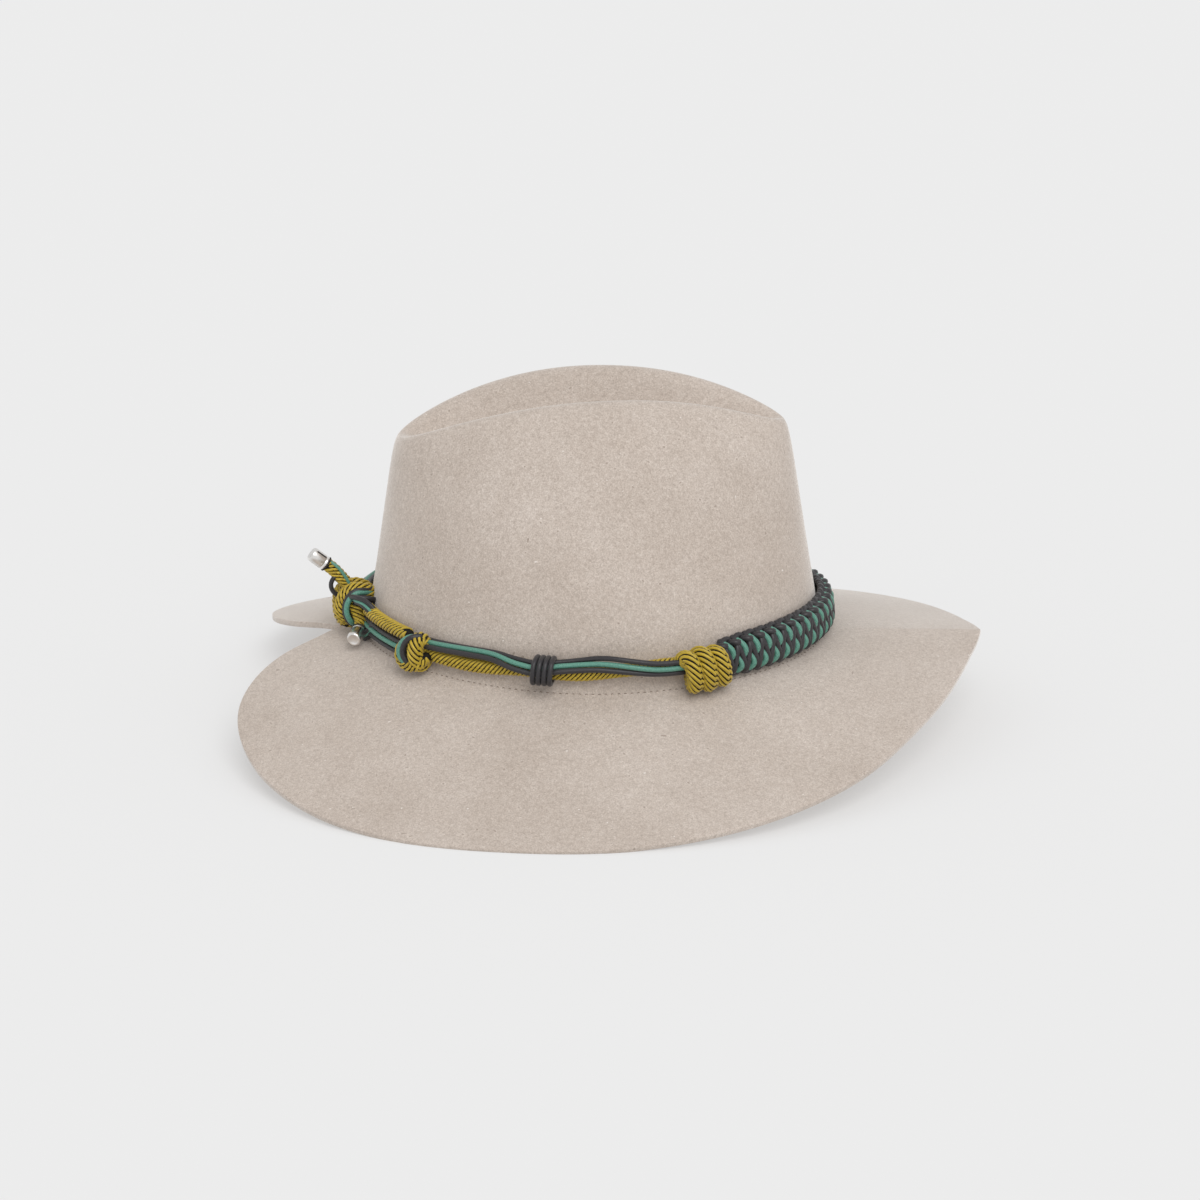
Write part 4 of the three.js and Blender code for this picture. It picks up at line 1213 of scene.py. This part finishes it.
class BraidPlaces:
    """Places on the braid, by the length along it."""

    def __init__(self):
        self.turns = np.linspace(-WRAPPED_KNOT_TURN, WRAPPED_KNOT_TURN, BRAID_TURNS)
        middle = np.array([beside(turn, BRAID_THICKNESS / 2, 0) for turn in self.turns])
        self.lengths = lengths_along(middle)
        self.count = int(round(self.lengths[-1] / BRAID_PITCH))
        self.pitch = self.lengths[-1] / self.count

    def at(self, length, up, out):
        turn = np.interp(length, self.lengths, self.turns)
        inside = min(length, self.lengths[-1] - length) / BRAID_NECK_LENGTH
        width = BRAID_WIDTH * blend(BRAID_NECK, 1, min(max(inside, 0), 1) ** BRAID_NECK_POWER)
        return against(turn, GAP + out * BRAID_THICKNESS, up * width / 2)


def make_braid():
    braid = BraidPlaces()
    dark, teal, filling = Shape(), Shape(), Shape()

    def strand(shape, rows, k, radius):
        inset = 1 - 2 * radius / BRAID_WIDTH
        points = [braid.at((k + along) * braid.pitch, up * inset, out) for along, up, out in rows]
        add_tube(shape, smooth_path(points, BRAID_STEP), radius)

    for k in range(1, braid.count - 1):
        for rows in (BRAID_RISE, BRAID_FALL, BRAID_TOP_ARCH, BRAID_LOW_LOOP):
            strand(dark, rows, k, BRAID_CORD)
        strand(dark, BRAID_TOP_LUMP, k, BRAID_CORD * BRAID_LUMP)
        for rows in (BRAID_TEAL_UPPER, BRAID_TEAL_LOWER):
            strand(teal, rows, k, BRAID_TEAL_CORD)
    lengths = np.linspace(braid.pitch, braid.lengths[-1] - braid.pitch, BRAID_SAMPLES)
    rows = [[braid.at(length, up, out) for out, up in FILLING] for length in lengths]
    # Near-black filling: painted shade in the braid's gaps
    filling.grid(np.array(rows), False, True, material=1)
    for up in (CORE_CORD_UP, -CORE_CORD_UP):
        path = even_path(np.array([braid.at(length, up, CORE_CORD_OUT) for length in lengths]), CORD_STEP)
        outward = unit(np.cross(tangents_of(path, False), (0, 0, 1)))
        add_rope(filling, path, CORE_CORD, outward)
    dark.piece("braid_charcoal", [CHARCOAL], "charcoal_cord", ["cobra_braid"])
    teal.piece("braid_teal", [TEAL], "teal_cord")
    filling.piece("braid_core", [GOLD_YARN, SHADE_CORE], "gold_cord")


make_braid()

# Stitches where the brim meets the crown
STITCH_SHARE = 0.25  # of the way up the fillet
STITCH_SPACING = 2.9
STITCH_LENGTH = 1.15
STITCH_RADIUS = 0.2
STITCH_RISE = (-0.2, 0.0, 0.06, 0.0, -0.2)
STITCH_LINE_SAMPLES = 1441


def make_stitches():
    angles = np.linspace(0, 2 * math.pi, STITCH_LINE_SAMPLES)
    line = np.array([break_point(angle, STITCH_SHARE) for angle in angles])
    lengths = lengths_along(line)
    count = int(lengths[-1] / STITCH_SPACING)
    thread = Shape()
    for k in range(count):
        where = lengths[-1] * k / count + np.linspace(0, STITCH_LENGTH, len(STITCH_RISE))
        path = np.stack([np.interp(where, lengths, line[:, i]) for i in range(3)], -1)
        path[:, 2] += STITCH_RISE
        add_tube(thread, path, STITCH_RADIUS, 6)
    thread.piece("brim_stitches", [THREAD], "felt")


make_stitches()

# Floor and light
FLOOR_REACH = 14.0
FLOOR_COLOUR = (0.42, 0.42, 0.42, 1)
FLOOR_GLOW = 0.4  # a lit table, so that shadows on it are faint
SKY_STRENGTH = 0.73
KEY_AZIMUTH = 20.0
KEY_ELEVATION = 48.0
KEY_ANGLE = 40.0  # wide, for soft shadows
KEY_STRENGTH = 1.35


def make_stage():
    mesh = bpy.data.meshes.new("floor")
    corners = [(-1, -1), (1, -1), (1, 1), (-1, 1)]
    mesh.from_pydata([(x * FLOOR_REACH, y * FLOOR_REACH, 0) for x, y in corners], [], [(0, 1, 2, 3)])
    floor = bpy.data.objects.new("floor", mesh)
    bpy.context.scene.collection.objects.link(floor)
    material, _, shader = new_material("floor", 1.0, 0.0)
    shader.inputs["Base Color"].default_value = FLOOR_COLOUR
    shader.inputs["Emission Color"].default_value = (1, 1, 1, 1)
    shader.inputs["Emission Strength"].default_value = FLOOR_GLOW
    mesh.materials.append(material)


def make_light():
    world = bpy.data.worlds.new("studio")
    bpy.context.scene.world = world
    world.use_nodes = True
    background = world.node_tree.nodes["Background"]
    background.inputs["Color"].default_value = (1, 1, 1, 1)
    background.inputs["Strength"].default_value = SKY_STRENGTH
    key = bpy.data.lights.new("key", "SUN")
    key.angle = math.radians(KEY_ANGLE)
    key.energy = KEY_STRENGTH
    aimed("key", key, direction_of(KEY_AZIMUTH, KEY_ELEVATION))


make_stage()
make_light()
bpy.context.scene.view_settings.view_transform = "Standard"
